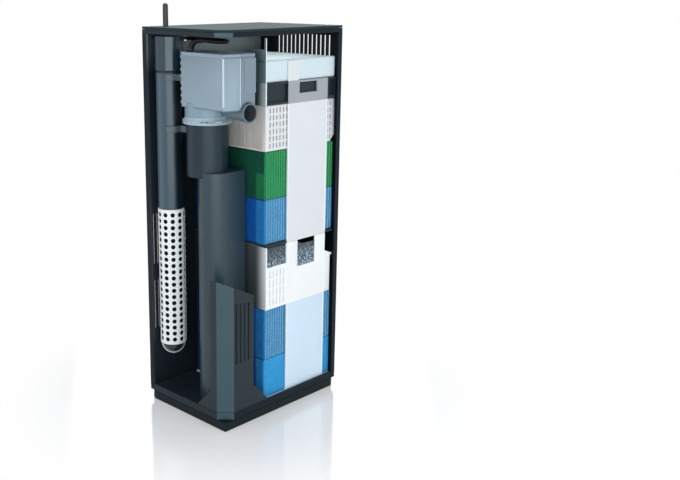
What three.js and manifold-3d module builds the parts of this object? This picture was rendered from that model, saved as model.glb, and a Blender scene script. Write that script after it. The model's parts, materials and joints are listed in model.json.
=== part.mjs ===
// In-tank box filter for an aquarium, cut open on two sides to show what it holds.
// Millimetres, +Z up. The heater and pump side faces -Y, the filter media side faces +X.
// The origin is the middle of the footprint, on the surface that the plinth stands on.
import * as THREE from 'three';
import { mergeVertices } from 'three/addons/utils/BufferGeometryUtils.js';
import Module from 'manifold-3d';

const wasm = await Module();
wasm.setup();

// ---- Driving sizes -------------------------------------------------------------------------
// Clearances
const SEAT = 0.3;              // between pieces that rest on each other
const RUNNING = 0.8;           // between the pieces that turn and what holds them
const SLIDE = 1.0;             // beside what is lifted out

// Housing
const WALL = 3;
const PLINTH_HEIGHT = 10;
const PLINTH_CORNER = 10;      // round of the three corners that are not at the cut side
const FLOOR = 3.7;
const RAIL_RISE = 4.5;         // rail above the floor on the two open sides
const STRIP = 7;               // frame strip beside each open side, wall included
const CHAMFER = 13.5;          // near vertical corner
const RIM = 4.4;
const COVER = 2.6;
const COVER_LIP = 2.5;
const COVER_LIP_WALL = 2;
const HEADROOM = 27;           // media top to rim

// Corner shell that is left standing at the cut corner
const SHELL_RISE = 152;        // above the rail, at its high side
const SHELL_SLOPE = 0.5;
const SHELL_FRONT_WING = 9.5;
const SHELL_SIDE_WING = 30.5;
const SHELL_FLARE = 24;
const SHELL_SLOTS = 4;
const SHELL_SLOT_WIDTH = 2.6;
const SHELL_SLOT_PITCH = 6.2;
const SHELL_SLOT_HEIGHT = 70;
const SHELL_SLOT_RISE = 61;
const SHELL_SLOT_INSET = 4;
const SHELL_SLOT_STEP = 1.1;   // each slot's top below the last one's

// Slots in the two whole walls
const SIDE_SLOT_WIDTH = 2.4;
const SIDE_SLOT_PITCH = 5.2;
const SIDE_SLOTS = 4;
const SIDE_SLOT_INSET = 5.4;   // first slot behind the strip
const SIDE_SLOT_HEIGHT = 60;
const SIDE_SLOT_BAR = 19;      // between the two rows
const SIDE_SLOT_RISE = 71;     // lower row above the floor
const BACK_SLOT_WIDTH = 4.8;
const BACK_SLOT_PITCH = 6.6;
const BACK_SLOT_INSET = 7;      // first slot beside the strip
const BACK_SLOTS = 13;
const BACK_SLOT_HEIGHT = 62;
const BACK_SLOT_DROP = 4;      // below the rim

// Heater
const TUBE_RADIUS = 14.2;
const TUBE_WALL = 1.2;
const GUARD_RADIUS = 15.1;
const GUARD_WALL = 0.6;
const GUARD_HEIGHT = 161;
const GUARD_RISE = 15;         // guard above the tube's low point
const CAP_RADIUS = 15.6;
const CAP_HEIGHT = 39;
const CAP_PLUG = 8;            // cap's plug inside the tube
const SEAL = 1.6;              // ring between tube and cap
const CAP_DROP = 0.9;          // cap below the rim
const HEATER_RISE = 43;        // tube's low point above the floor
const SPINDLE_RADIUS = 3;
const SPINDLE_OFFSET = 3.5;
const SPINDLE_DEPTH = 14;      // spindle inside the cap
const SPINDLE_REACH = 25;      // spindle above the cover
const CORE_RADIUS = 8;
const CORE_RISE = 16;
const CORE_HEIGHT = 150;
const CORE_DISC = 4;
const THERMOSTAT_WIDTH = 15;
const THERMOSTAT_HEIGHT = 34;
const CLIP_WALL = 2;
const CLIP_HEIGHT = 7;
const CLIP_UPPER_DROP = 3;     // upper clip below the cap
const CLIP_LOWER_DROP = 5;     // lower clip below the sleeve's top
const CLIP_OPENING = 80;       // degrees

// Pump
const BOX_WIDTH = 74;
const BOX_DEPTH = 42;
const BOX_HEIGHT = 58.5;
const BOX_WALL = 2.4;
const BOX_CORNER = 4;          // round of its rear corners
const BOX_CHAMFER = 6;         // flat on the near corner: along the front, and along the side
const BOX_CHAMFER_SIDE = 14;
const BOX_BESIDE_WELL = 6.5;   // box's left face beside the rotor well
const BOX_DROP = 18;           // box top below the rim
const BOX_ARCH = 11;           // cut in the skirt over the outlet
const VOLUTE_RADIUS = 24.5;
const VOLUTE_WALL = 2.5;
const VOLUTE_HEIGHT = 14;
const VOLUTE_SUNK = 4;         // volute's roof inside the box
const FLANGE_RADIUS = 27;
const FLANGE_HEIGHT = 8;
const FLANGE_BORE = 14;
const SLEEVE_RADIUS = 23;
const SLEEVE_WALL = 2.5;
const SLEEVE_HEIGHT = 58;
const SPIGOT_RADIUS = 10;
const SPIGOT_WALL = 2;
const SPIGOT_LENGTH = 12;
const SPIGOT_OFFSET = 6;
const NOZZLE_RADIUS = 6.6;
const NOZZLE_MOUTH = 10.6;
const NOZZLE_WALL = 1.8;
const NOZZLE_OFFSET = 5;       // outlet line behind the pump's axis
const NOZZLE_START = 12;
const NOZZLE_FLARE = 22;
const NOZZLE_LIP = 0.6;        // how much the flare still widens in its last third
const WELL_RADIUS = 9.5;
const WELL_WALL = 1;
const WELL_HEIGHT = 40;
const MAGNET_HEIGHT = 32;
const VANES = 6;
const VANE_REACH = 17;
const VANE_HEIGHT = 6;
const VANE_THICKNESS = 1.6;
const SHAFT_RADIUS = 1.2;
const BUSH_RADIUS = 3.2;
const BUSH_LENGTH = 3;
const POST_WALL = 1.6;         // round the lower bush
const POST_ARM = 2.4;
const STATOR_RISE = 10;        // stator above the volute's roof
const STATOR_STACK = 20;
const STATOR_LIMB = 4.5;
const YOKE = 9;
const WINDING = 5;

// Suction pillar
const PILLAR_RADIUS = 19;
const PILLAR_OFFSET = 12;      // pillar's axis right of the pump's axis
const PILLAR_WALL = 2.5;
const PILLAR_COLLAR = 6;       // pillar's side above the sleeve's end
const PILLAR_INLET_WIDTH = 20;
const PILLAR_INLET_HEIGHT = 18;

// Room round the heater and pump
const CAP_TO_WALL = 1.4;
const CAP_TO_FLANGE = 2.4;
const PUMP_TO_SIDE = 4;
const FLANGE_TO_FRONT = 6;
const FLANGE_TO_MEDIA = 3.5;

// Media stack
const MEDIA_DEPTH = 113.5;
const MEDIA_LEFT_ROOM = 4;
const GRID = 2.5;
const BASKET_WALL = 2;
const PLATE_WALL = 1.6;
const PLATE_WIDTH = 65;
const PLATE_INSET = 33.5;      // front edge of the centre plate behind the stack's front
const LOWER_FINE_PAD = 46;
const LOWER_COARSE_PAD = 60;
const TUB_HEIGHT = 72.5;
const TUB_SHOULDER = 26;       // how far the tub's rear rim slopes down
const TUB_SLOPE_START = 52;    // where the slope starts, behind the stack's front
const TUB_BACK_ROOM = 5;       // behind the tub
const TUB_LIP = 3;             // its rear rim is turned out that far, and is that deep
const GRANULE_DROP = 1.5;      // granules below the tub's rim
const UPPER_FINE_PAD = 50.5;
const GREEN_PAD = 53.5;
const CARTRIDGE_HEIGHT = 49.5;
const CARTRIDGE_WALL = 2;
const BAND_HEIGHT = 24;
const FLOSS_PAD = 23;
const PARTITION_WALL = 1.2;    // thin wall before the floss and the band
const PARTITION_POST = 2.4;
const PARTITION_TOP = 3;       // post's end below the rim
const PAD_GAP = 0.3;
const BAND_WINDOWS = [         // from the stack's front, along the open side: start, width, sill
  { start: 2, width: 31, sill: 2.5, head: 2 },
  { start: 51.5, width: 29.5, sill: 10, head: 2 },
  { start: 100.5, width: 11, sill: 4, head: 2 },
];
const TUB_WINDOWS = [          // open at the rim: start along the open side, sill above the floor
  { start: 2, width: 31, sill: 49 },
  { start: 51.5, width: 29.5, sill: 41 },
];
const GRID_SLOTS = 9;
const GRID_SLOT_WIDTH = 5;
const GRID_EDGE = 8;

// Mains lead
const LEAD_RADIUS = 2.2;
const LEAD_HOLE = 2.8;
const GLAND_RADIUS = 4;
const GLAND_NECK = 3;
const GLAND_RISE = 1.6;        // gland's flange above the box
const GLAND_INSET_X = 6;       // gland's middle from the box's left and front faces
const GLAND_INSET_Y = 9.5;
const LEAD_EXIT_INSET = 5.5;   // lead in the side wall, before the media
const LEAD_EXIT_DROP = 7.4;    // below the rim
const COIL_OUTER = 33.4;
const COIL_AWAY = 44;          // coil's middle from the side wall
const COIL_PITCH = 5;
const COIL_LAYER_TURNS = 2.875;
const COIL_CLIMB_TURNS = 0.5;
const COIL_STEPS = 24;
const COIL_SIDES = 6;
const LAYER_RISE = 5;
const LEAD_REST = 2.5;         // lead's middle above the surface
const COIL_TAIL = 20;          // straight lead from the coil to the plug
const PLUG_LENGTH = 34;
const PLUG_WIDTH = 26;
const PLUG_HEIGHT = 15;
const PLUG_NECK = 12;
const PLUG_NECK_RADIUS = 3.8;
const PIN_RADIUS = 2;
const PIN_LENGTH = 19;
const PIN_PITCH = 18.6;

// ---- Places worked out from the sizes ------------------------------------------------------
const boxLeft = -WELL_RADIUS - BOX_BESIDE_WELL;
const boxRight = boxLeft + BOX_WIDTH;
const innerWidth = CAP_TO_WALL + 2 * CAP_RADIUS + CAP_TO_FLANGE + FLANGE_RADIUS
  + boxRight + PUMP_TO_SIDE;
const bayDepth = FLANGE_TO_FRONT + 2 * FLANGE_RADIUS + FLANGE_TO_MEDIA;
const innerDepth = bayDepth + MEDIA_DEPTH + SLIDE;
const left = -innerWidth / 2;
const right = innerWidth / 2;
const front = -innerDepth / 2;
const back = innerDepth / 2;
const outLeft = left - WALL;
const outRight = right + WALL;
const outFront = front - WALL;
const outBack = back + WALL;

const heaterX = left + CAP_TO_WALL + CAP_RADIUS;
const heaterY = front + CAP_TO_WALL + CAP_RADIUS;
const pumpX = heaterX + CAP_RADIUS + CAP_TO_FLANGE + FLANGE_RADIUS;
const pumpY = front + FLANGE_TO_FRONT + FLANGE_RADIUS;
const mediaFront = front + bayDepth;
const mediaBack = mediaFront + MEDIA_DEPTH;
const mediaLeft = left + MEDIA_LEFT_ROOM;
const mediaRight = right - SLIDE;

const floorBottom = PLINTH_HEIGHT + SEAT;
const floorTop = floorBottom + FLOOR;
const railTop = floorTop + RAIL_RISE;
const lowerGridZ = floorTop + SEAT;
const lowerFineZ = lowerGridZ + GRID + PAD_GAP;
const lowerCoarseZ = lowerFineZ + LOWER_FINE_PAD + PAD_GAP;
const tubZ = lowerCoarseZ + LOWER_COARSE_PAD + PAD_GAP;
const tubTop = tubZ + TUB_HEIGHT;
const upperGridZ = tubTop + SEAT;
const upperFineZ = upperGridZ + GRID + PAD_GAP;
const greenZ = upperFineZ + UPPER_FINE_PAD + PAD_GAP;
const cartridgeZ = greenZ + GREEN_PAD + PAD_GAP;
const bandZ = cartridgeZ + CARTRIDGE_HEIGHT + PAD_GAP;
const bandTop = bandZ + BAND_HEIGHT;
const flossZ = bandTop + PAD_GAP;
const mediaTop = flossZ + FLOSS_PAD;
const rimZ = mediaTop + HEADROOM;
const rimTop = rimZ + RIM;
const coverZ = rimTop + SEAT;
const coverTop = coverZ + COVER;

const boxTop = rimZ - BOX_DROP;
const boxZ = boxTop - BOX_HEIGHT;
const voluteTop = boxZ + VOLUTE_SUNK;
const voluteZ = voluteTop - VOLUTE_HEIGHT;
const flangeZ = voluteZ - SEAT - FLANGE_HEIGHT;
const sleeveTop = flangeZ - SEAT;
const sleeveZ = sleeveTop - SLEEVE_HEIGHT;
const capTop = rimZ - CAP_DROP;
const capZ = capTop - CAP_HEIGHT;
const sealZ = capZ - SEAT - SEAL;
const tubeTop = sealZ - SEAT;
const tubeZ = floorTop + HEATER_RISE;

// ---- Finishes ------------------------------------------------------------------------------
const finish = (color, roughness, extra = {}) =>
  new THREE.MeshStandardMaterial({ color, roughness, metalness: 0, ...extra });
const slate = finish(0x343e46, 0.5);
const slateLight = finish(0x46525a, 0.45);
const pumpGrey = finish(0x96aab9, 0.4);
const voluteGrey = finish(0xa8bccb, 0.4);
const white = finish(0xe4e9ee, 0.5);
const basketGrey = finish(0xb4babe, 0.45);
const green = finish(0x289641, 0.95);
const blue = finish(0x5a96c8, 0.95);
const brightBlue = finish(0x3296d7, 0.95);
const floss = finish(0xe8f0f4, 0.95);
const granule = finish(0x5a5e62, 0.9);
const carbon = finish(0x1c1d1f, 0.9);
const glass = finish(0xb9c8cf, 0.05, { transparent: true, opacity: 0.35 });
const ceramic = finish(0xd8d4c8, 0.7);
const steel = finish(0xb8bcc0, 0.3, { metalness: 1 });
const copper = finish(0xb06a3a, 0.4, { metalness: 1 });
const magnet = finish(0x2b2b2d, 0.5);
const black = finish(0x14161a, 0.55);

// ---- Shape helpers -------------------------------------------------------------------------
function solidOf(geometry) {
  const plain = geometry.clone();
  plain.deleteAttribute('normal');
  plain.deleteAttribute('uv');
  const merged = mergeVertices(plain, 1e-5);
  return new wasm.Manifold(new wasm.Mesh({
    numProp: 3,
    vertProperties: new Float32Array(merged.attributes.position.array),
    triVerts: new Uint32Array(merged.index.array),
  }));
}

function geometryOf(solid) {
  const mesh = solid.getMesh();
  const geometry = new THREE.BufferGeometry();
  geometry.setAttribute('position', new THREE.BufferAttribute(new Float32Array(mesh.vertProperties), 3));
  geometry.setIndex(new THREE.BufferAttribute(new Uint32Array(mesh.triVerts), 1));
  geometry.computeVertexNormals();
  return geometry;
}

const cut = (body, ...tools) => tools.reduce((rest, tool) => rest.subtract(tool), body);
const join = (body, ...others) => others.reduce((sum, other) => sum.add(other), body);

function block([x0, x1], [y0, y1], [z0, z1]) {
  const box = new THREE.BoxGeometry(x1 - x0, y1 - y0, z1 - z0);
  return solidOf(box.translate((x0 + x1) / 2, (y0 + y1) / 2, (z0 + z1) / 2));
}

function outline(points) {
  return new THREE.Shape(points.map(([x, y]) => new THREE.Vector2(x, y)));
}

function prismZ(shape, z0, z1, curveSegments = 8) {
  const geometry = new THREE.ExtrudeGeometry(shape, { depth: z1 - z0, bevelEnabled: false, curveSegments });
  return solidOf(geometry.translate(0, 0, z0));
}

// An outline of (y, z) points, pushed along X.
function prismX(points, x0, x1) {
  const geometry = new THREE.ExtrudeGeometry(outline(points), { depth: x1 - x0, bevelEnabled: false });
  geometry.rotateX(Math.PI / 2).rotateZ(Math.PI / 2);
  return solidOf(geometry.translate(x0, 0, 0));
}

// An outline of (x, z) points, pushed along Y.
function prismY(points, y0, y1) {
  const geometry = new THREE.ExtrudeGeometry(outline(points), { depth: y1 - y0, bevelEnabled: false });
  geometry.rotateX(Math.PI / 2);
  return solidOf(geometry.translate(0, y1, 0));
}

function disc(radius, z0, z1, x = 0, y = 0, segments = 40, topRadius = radius) {
  const geometry = new THREE.CylinderGeometry(topRadius, radius, z1 - z0, segments);
  geometry.rotateX(Math.PI / 2);
  return solidOf(geometry.translate(x, y, (z0 + z1) / 2));
}

function pipe(outer, inner, z0, z1, x = 0, y = 0, segments = 40) {
  return disc(outer, z0, z1, x, y, segments).subtract(disc(inner, z0 - 1, z1 + 1, x, y, segments));
}

// A turned shape from (radius, z) points.
function turned(points, segments = 40) {
  const profile = points.map(([r, z]) => new THREE.Vector2(r, z));
  return solidOf(new THREE.LatheGeometry(profile, segments).rotateX(Math.PI / 2));
}

function piece(name, body, material) {
  const geometry = body instanceof THREE.BufferGeometry ? body : geometryOf(body);
  const mesh = new THREE.Mesh(geometry, material);
  mesh.name = name;
  return mesh;
}

// The housing's outline in plan, moved in by inset, with the near corner cut off.
function housingOutline(inset) {
  const cutLeg = CHAMFER - inset * (2 - Math.SQRT2);
  const x0 = outLeft + inset;
  const x1 = outRight - inset;
  const y0 = outFront + inset;
  const y1 = outBack - inset;
  return outline([[x0, y0], [x1 - cutLeg, y0], [x1, y0 + cutLeg], [x1, y1], [x0, y1]]);
}

// ---- Housing -------------------------------------------------------------------------------
function basePlinth() {
  const shape = new THREE.Shape();
  const r = PLINTH_CORNER;
  shape.moveTo(outRight, outFront);
  shape.lineTo(outRight, outBack - r);
  shape.quadraticCurveTo(outRight, outBack - SEAT, outRight - r, outBack);
  shape.lineTo(outLeft + r, outBack);
  shape.quadraticCurveTo(outLeft + SEAT, outBack, outLeft, outBack - r);
  shape.lineTo(outLeft, outFront + r);
  shape.quadraticCurveTo(outLeft + SEAT, outFront, outLeft + r, outFront);
  shape.closePath();
  return piece('base_plinth', prismZ(shape, 0, PLINTH_HEIGHT, 6), slate);
}

function floorPan() {
  const plate = prismZ(housingOutline(0), floorBottom, floorTop);
  const rails = prismZ(housingOutline(0), floorTop - SEAT, railTop)
    .subtract(prismZ(housingOutline(WALL), floorTop - 1, railTop + 1))
    .subtract(block([outLeft - 1, outLeft + STRIP], [outFront - 1, outBack + 1], [floorTop, railTop + 1]))
    .subtract(block([outLeft - 1, outRight + 1], [outBack - STRIP, outBack + 1], [floorTop, railTop + 1]));
  return piece('floor_pan', join(plate, rails), slate);
}

function sideWall() {
  const z0 = floorTop + SEAT;
  const z1 = rimZ - SEAT;
  let wall = join(
    block([outLeft, left], [outFront, outBack], [z0, z1]),
    block([outLeft, outLeft + STRIP - SEAT], [outFront, front], [z0, z1]),
  );
  for (let row = 0; row < 2; row += 1) {
    const low = floorTop + SIDE_SLOT_RISE + row * (SIDE_SLOT_HEIGHT + SIDE_SLOT_BAR);
    for (let i = 0; i < SIDE_SLOTS; i += 1) {
      const y = front + SIDE_SLOT_INSET + i * SIDE_SLOT_PITCH;
      const slot = [y - SIDE_SLOT_WIDTH / 2, y + SIDE_SLOT_WIDTH / 2];
      wall = wall.subtract(block([outLeft - 1, left + 1], slot, [low, low + SIDE_SLOT_HEIGHT]));
    }
  }
  const notch = [leadExitY - LEAD_HOLE, leadExitY + LEAD_HOLE];
  wall = wall.subtract(block([outLeft - 1, left + 1], notch, [leadExitZ - LEAD_HOLE, z1 + 1]));
  return piece('side_wall', wall, slate);
}

function backWall() {
  const z0 = floorTop + SEAT;
  const z1 = rimZ - SEAT;
  let wall = join(
    block([left + SEAT, outRight], [back, outBack], [z0, z1]),
    block([right, outRight], [outBack - STRIP + SEAT, outBack], [z0, z1]),
  );
  for (let i = 0; i < BACK_SLOTS; i += 1) {
    const x = right - STRIP - BACK_SLOT_INSET - i * BACK_SLOT_PITCH;
    const slot = [x - BACK_SLOT_WIDTH / 2, x + BACK_SLOT_WIDTH / 2];
    const high = z1 - BACK_SLOT_DROP;
    wall = wall.subtract(block(slot, [back - 1, outBack + 1], [high - BACK_SLOT_HEIGHT, high]));
  }
  return piece('back_wall', wall, slate);
}

function cornerShell() {
  const z0 = railTop + SEAT;
  const z1 = railTop + SHELL_RISE;
  const far = z1 + 1;
  const wingX = outRight - CHAMFER - SHELL_FRONT_WING;
  const wingY = outFront + CHAMFER + SHELL_SIDE_WING;
  let shell = prismZ(housingOutline(0), z0, z1).subtract(prismZ(housingOutline(WALL), z0 - 1, far));
  const footX = wingX - SHELL_FLARE;
  const footY = wingY + SHELL_FLARE;
  shell = cut(
    shell,
    block([outLeft - 1, footX], [outFront - 1, outBack + 1], [z0 - 1, far]),
    block([outLeft - 1, outRight + 1], [footY, outBack + 1], [z0 - 1, far]),
    prismY([[footX - 1, z0 - 1], [footX, z0 - 1], [wingX, z0 + SHELL_FLARE], [wingX, far], [footX - 1, far]],
      outFront - 1, front + 1),
    prismX([[footY + 1, z0 - 1], [footY + 1, far], [wingY, far], [wingY, z0 + SHELL_FLARE], [footY, z0 - 1]],
      right - 1, outRight + 1),
    prismX([[outFront - 1, z1 + SHELL_SLOPE], [footY, z1 - SHELL_SLOPE * (footY - outFront)],
      [footY, far + 1], [outFront - 1, far + 1]], outLeft, outRight + 1),
  );
  const slotZ = floorTop + SHELL_SLOT_RISE;
  for (let i = 0; i < SHELL_SLOTS; i += 1) {
    const y = outFront + CHAMFER + SHELL_SLOT_INSET + i * SHELL_SLOT_PITCH;
    const slot = [y - SHELL_SLOT_WIDTH / 2, y + SHELL_SLOT_WIDTH / 2];
    const height = SHELL_SLOT_HEIGHT - i * SHELL_SLOT_STEP;
    shell = shell.subtract(block([right - 1, outRight + 1], slot, [slotZ, slotZ + height]));
  }
  return piece('corner_shell', shell, slateLight);
}

function topFrame() {
  const ring = prismZ(housingOutline(0), rimZ, rimTop)
    .subtract(prismZ(housingOutline(WALL), rimZ - 1, rimTop + 1));
  return piece('top_frame', ring, slate);
}

function topCover() {
  const lipOut = WALL + SEAT;
  const plate = prismZ(housingOutline(0), coverZ, coverTop);
  const lip = prismZ(housingOutline(lipOut), coverZ - COVER_LIP, coverZ + SEAT)
    .subtract(prismZ(housingOutline(lipOut + COVER_LIP_WALL), coverZ - COVER_LIP - 1, coverZ));
  const hole = disc(SPINDLE_RADIUS + SEAT, coverZ - COVER_LIP - 1, coverTop + 1,
    heaterX - SPINDLE_OFFSET, heaterY, 24);
  return piece('top_cover', join(plate, lip).subtract(hole), slateLight);
}

// ---- Heater: every shape is drawn round the heater's own axis --------------------------------
function heaterTube() {
  const inner = TUBE_RADIUS - TUBE_WALL;
  const profile = [];
  const domeSteps = 6;
  for (let i = 0; i <= domeSteps; i += 1) {
    const angle = (i / domeSteps) * (Math.PI / 2);
    profile.push([TUBE_RADIUS * Math.sin(angle), tubeZ + TUBE_RADIUS * (1 - Math.cos(angle))]);
  }
  profile.push([TUBE_RADIUS, tubeTop], [inner, tubeTop]);
  for (let i = domeSteps; i >= 0; i -= 1) {
    const angle = (i / domeSteps) * (Math.PI / 2);
    profile.push([inner * Math.sin(angle), tubeZ + TUBE_RADIUS - inner * Math.cos(angle)]);
  }
  return piece('heater_tube', turned(profile, 36), glass);
}

function heaterCap() {
  const plugRadius = TUBE_RADIUS - TUBE_WALL - SEAT;
  const body = join(
    disc(CAP_RADIUS, capZ, capTop, 0, 0, 36),
    disc(plugRadius, capZ - CAP_PLUG, capZ + 1, 0, 0, 36),
  );
  const bore = disc(SPINDLE_RADIUS + SEAT, capTop - SPINDLE_DEPTH - SEAT, capTop + 1, -SPINDLE_OFFSET, 0, 24);
  return piece('heater_cap', body.subtract(bore), slateLight);
}

function heaterSeal() {
  const ring = pipe(TUBE_RADIUS, TUBE_RADIUS - TUBE_WALL, sealZ, sealZ + SEAL, 0, 0, 36);
  return piece('heater_seal', ring, black);
}

function heaterGuard() {
  const z0 = tubeZ + GUARD_RISE;
  const tube = pipe(GUARD_RADIUS, GUARD_RADIUS - GUARD_WALL, z0, z0 + GUARD_HEIGHT, 0, 0, 36);
  return piece('heater_guard', tube, white);
}

function heatingCore() {
  const z0 = tubeZ + CORE_RISE;
  const discRadius = TUBE_RADIUS - TUBE_WALL - SEAT;
  return piece('heating_core', join(
    disc(CORE_RADIUS, z0, z0 + CORE_HEIGHT, 0, 0, 24),
    disc(discRadius, z0, z0 + CORE_DISC, 0, 0, 24),
    disc(discRadius, z0 + CORE_HEIGHT - CORE_DISC, z0 + CORE_HEIGHT, 0, 0, 24),
  ), ceramic);
}

function thermostat() {
  const top = capZ - CAP_PLUG - SEAT;
  const half = THERMOSTAT_WIDTH / 2;
  return piece('thermostat', block([-half, half], [-half, half], [top - THERMOSTAT_HEIGHT, top]), copper);
}

function temperatureSpindle() {
  const z0 = capTop - SPINDLE_DEPTH;
  const top = coverTop + SPINDLE_REACH;
  const r = SPINDLE_RADIUS;
  const half = Math.SQRT1_2 * r;
  const profile = [[0, z0], [r, z0], [r, top - r], [half, top - r + half], [0, top]];
  return piece('temperature_spindle', turned(profile, 20), black);
}

// A C-shaped clip with an arm that reaches a given distance towards arm angle.
function heaterClip(name, z0, armAngle, armReach) {
  const bore = TUBE_RADIUS + SEAT;
  const outer = bore + CLIP_WALL;
  const z1 = z0 + CLIP_HEIGHT;
  const openMiddle = Math.PI * 1.25;
  const openHalf = THREE.MathUtils.degToRad(CLIP_OPENING / 2);
  const far = outer * 2;
  const wedge = [openMiddle - openHalf, openMiddle, openMiddle + openHalf]
    .map((angle) => [far * Math.cos(angle), far * Math.sin(angle)]);
  const arm = block([bore + SEAT, armReach], [-CLIP_HEIGHT / 2, CLIP_HEIGHT / 2], [z0, z1])
    .rotate([0, 0, THREE.MathUtils.radToDeg(armAngle)]);
  const ring = pipe(outer, bore, z0, z1, 0, 0, 36)
    .subtract(prismZ(outline([[0, 0], ...wedge]), z0 - 1, z1 + 1));
  return piece(name, join(ring, arm), slateLight);
}

function heaterClips() {
  const dx = pumpX - heaterX;
  const dy = pumpY - heaterY;
  const toSleeve = Math.hypot(dx, dy) - SLEEVE_RADIUS - SEAT;
  const toBox = pumpX + boxLeft - SEAT - heaterX;
  return [
    heaterClip('heater_clip_upper', capZ - CLIP_UPPER_DROP - CLIP_HEIGHT, 0, toBox),
    heaterClip('heater_clip_lower', sleeveTop - CLIP_LOWER_DROP - CLIP_HEIGHT, Math.atan2(dy, dx), toSleeve),
  ];
}

// ---- Pump: every shape is drawn round the pump's own axis ------------------------------------
const boxFront = -VOLUTE_RADIUS + SEAT;
const boxBack = boxFront + BOX_DEPTH;
const nozzleZ = voluteZ + VOLUTE_HEIGHT / 2;

function boxOutline(inset) {
  const r = BOX_CORNER;
  const x0 = boxLeft + inset;
  const x1 = boxRight - inset;
  const y0 = boxFront + inset;
  const y1 = boxBack - inset;
  return outline([
    [x0 + r / 2, y0], [x1 - BOX_CHAMFER, y0], [x1, boxFront + BOX_CHAMFER_SIDE],
    [x1, y1 - r / 2], [x1 - r / 2, y1], [x0 + r / 2, y1], [x0, y1 - r / 2], [x0, y0 + r / 2],
  ]);
}

function pumpHousing() {
  const shell = prismZ(boxOutline(0), boxZ, boxTop)
    .subtract(prismZ(boxOutline(BOX_WALL), boxZ - 1, boxTop - BOX_WALL));
  const arch = turned([[0, 0], [BOX_ARCH, 0], [BOX_ARCH, BOX_WIDTH], [0, BOX_WIDTH]], 24)
    .rotate([0, 90, 0])
    .translate([boxRight - BOX_WIDTH / 2, NOZZLE_OFFSET, nozzleZ]);
  const leadHole = disc(GLAND_NECK + SEAT, boxTop - BOX_WALL - 1, boxTop + 1,
    glandX - pumpX, glandY - pumpY, 20);
  const clearVolute = disc(VOLUTE_RADIUS + SEAT, boxZ - 1, voluteTop + SEAT, 0, 0, 40);
  return piece('pump_housing', cut(shell, arch, leadHole, clearVolute), pumpGrey);
}

function pumpVolute() {
  const cup = disc(VOLUTE_RADIUS, voluteZ, voluteTop, 0, 0, 48)
    .subtract(disc(VOLUTE_RADIUS - VOLUTE_WALL, voluteZ - 1, voluteTop - VOLUTE_WALL, 0, 0, 48));
  const well = disc(WELL_RADIUS, voluteTop - VOLUTE_WALL, voluteTop + WELL_HEIGHT, 0, 0, 24);
  const bore = disc(WELL_RADIUS - WELL_WALL, voluteZ, voluteTop + WELL_HEIGHT - WELL_WALL, 0, 0, 24);
  const room = NOZZLE_RADIUS + SEAT;
  const outlet = turned([[0, 0], [room, 0], [room, BOX_WIDTH], [0, BOX_WIDTH]], 24)
    .rotate([0, 90, 0])
    .translate([NOZZLE_START, NOZZLE_OFFSET, nozzleZ]);
  return piece('pump_volute', cut(join(cup, well), bore, outlet), voluteGrey);
}

function voluteFlange() {
  const top = flangeZ + FLANGE_HEIGHT;
  const deck = top - BUSH_LENGTH - 1;
  const ring = pipe(FLANGE_RADIUS, FLANGE_BORE, flangeZ, top, 0, 0, 48);
  const underCut = disc(SLEEVE_RADIUS - SLEEVE_WALL, flangeZ - 1, deck, 0, 0, 40);
  const arms = [0, 90].map((turn) => block([-FLANGE_BORE - 1, FLANGE_BORE + 1], [-POST_ARM / 2, POST_ARM / 2],
    [deck, top]).rotate([0, 0, turn]));
  const post = disc(BUSH_RADIUS + SEAT + POST_WALL, deck, top, 0, 0, 20);
  const pocket = disc(BUSH_RADIUS + SEAT, top - BUSH_LENGTH - SEAT, top + 1, 0, 0, 20);
  return piece('volute_flange', cut(join(ring.subtract(underCut), post, ...arms), pocket), voluteGrey);
}

function shaftBushes() {
  const lowerZ = flangeZ + FLANGE_HEIGHT - BUSH_LENGTH;
  const upperZ = voluteTop + WELL_HEIGHT - WELL_WALL - SEAT - BUSH_LENGTH;
  const bore = SHAFT_RADIUS + SEAT;
  const upperRadius = WELL_RADIUS - WELL_WALL - SEAT;
  return [
    piece('shaft_bush_lower', pipe(BUSH_RADIUS, bore, lowerZ, lowerZ + BUSH_LENGTH, 0, 0, 20), black),
    piece('shaft_bush_upper', pipe(upperRadius, bore, upperZ, upperZ + BUSH_LENGTH, 0, 0, 24), black),
  ];
}

function intakeSleeve() {
  const tube = disc(SLEEVE_RADIUS, sleeveZ, sleeveTop, 0, 0, 44)
    .subtract(disc(SLEEVE_RADIUS - SLEEVE_WALL, sleeveZ + SLEEVE_WALL, sleeveTop + 1, 0, 0, 44));
  const spigot = disc(SPIGOT_RADIUS, sleeveZ - SPIGOT_LENGTH, sleeveZ + 1, SPIGOT_OFFSET, 0, 28);
  const bore = disc(SPIGOT_RADIUS - SPIGOT_WALL, sleeveZ - SPIGOT_LENGTH - 1, sleeveZ + SLEEVE_WALL + 1,
    SPIGOT_OFFSET, 0, 28);
  return piece('intake_sleeve', join(tube, spigot).subtract(bore), slateLight);
}

function outletNozzle() {
  const end = boxRight + PUMP_TO_SIDE - SEAT;
  const straight = end - NOZZLE_START - NOZZLE_FLARE;
  const inner = NOZZLE_RADIUS - NOZZLE_WALL;
  const mouth = NOZZLE_MOUTH - NOZZLE_WALL;
  const length = straight + NOZZLE_FLARE;
  const profile = [
    [inner, 0], [NOZZLE_RADIUS, 0], [NOZZLE_RADIUS, straight],
    [NOZZLE_MOUTH - NOZZLE_LIP, length - NOZZLE_FLARE / 3], [NOZZLE_MOUTH, length],
    [mouth, length], [inner, straight], [inner, 0],
  ];
  const pipeShape = turned(profile, 28).rotate([0, 90, 0]).translate([NOZZLE_START, NOZZLE_OFFSET, nozzleZ]);
  const impellerRoom = disc(VANE_REACH + RUNNING, voluteZ - 1, voluteTop, 0, 0, 40);
  return piece('outlet_nozzle', pipeShape.subtract(impellerRoom), slateLight);
}

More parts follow.
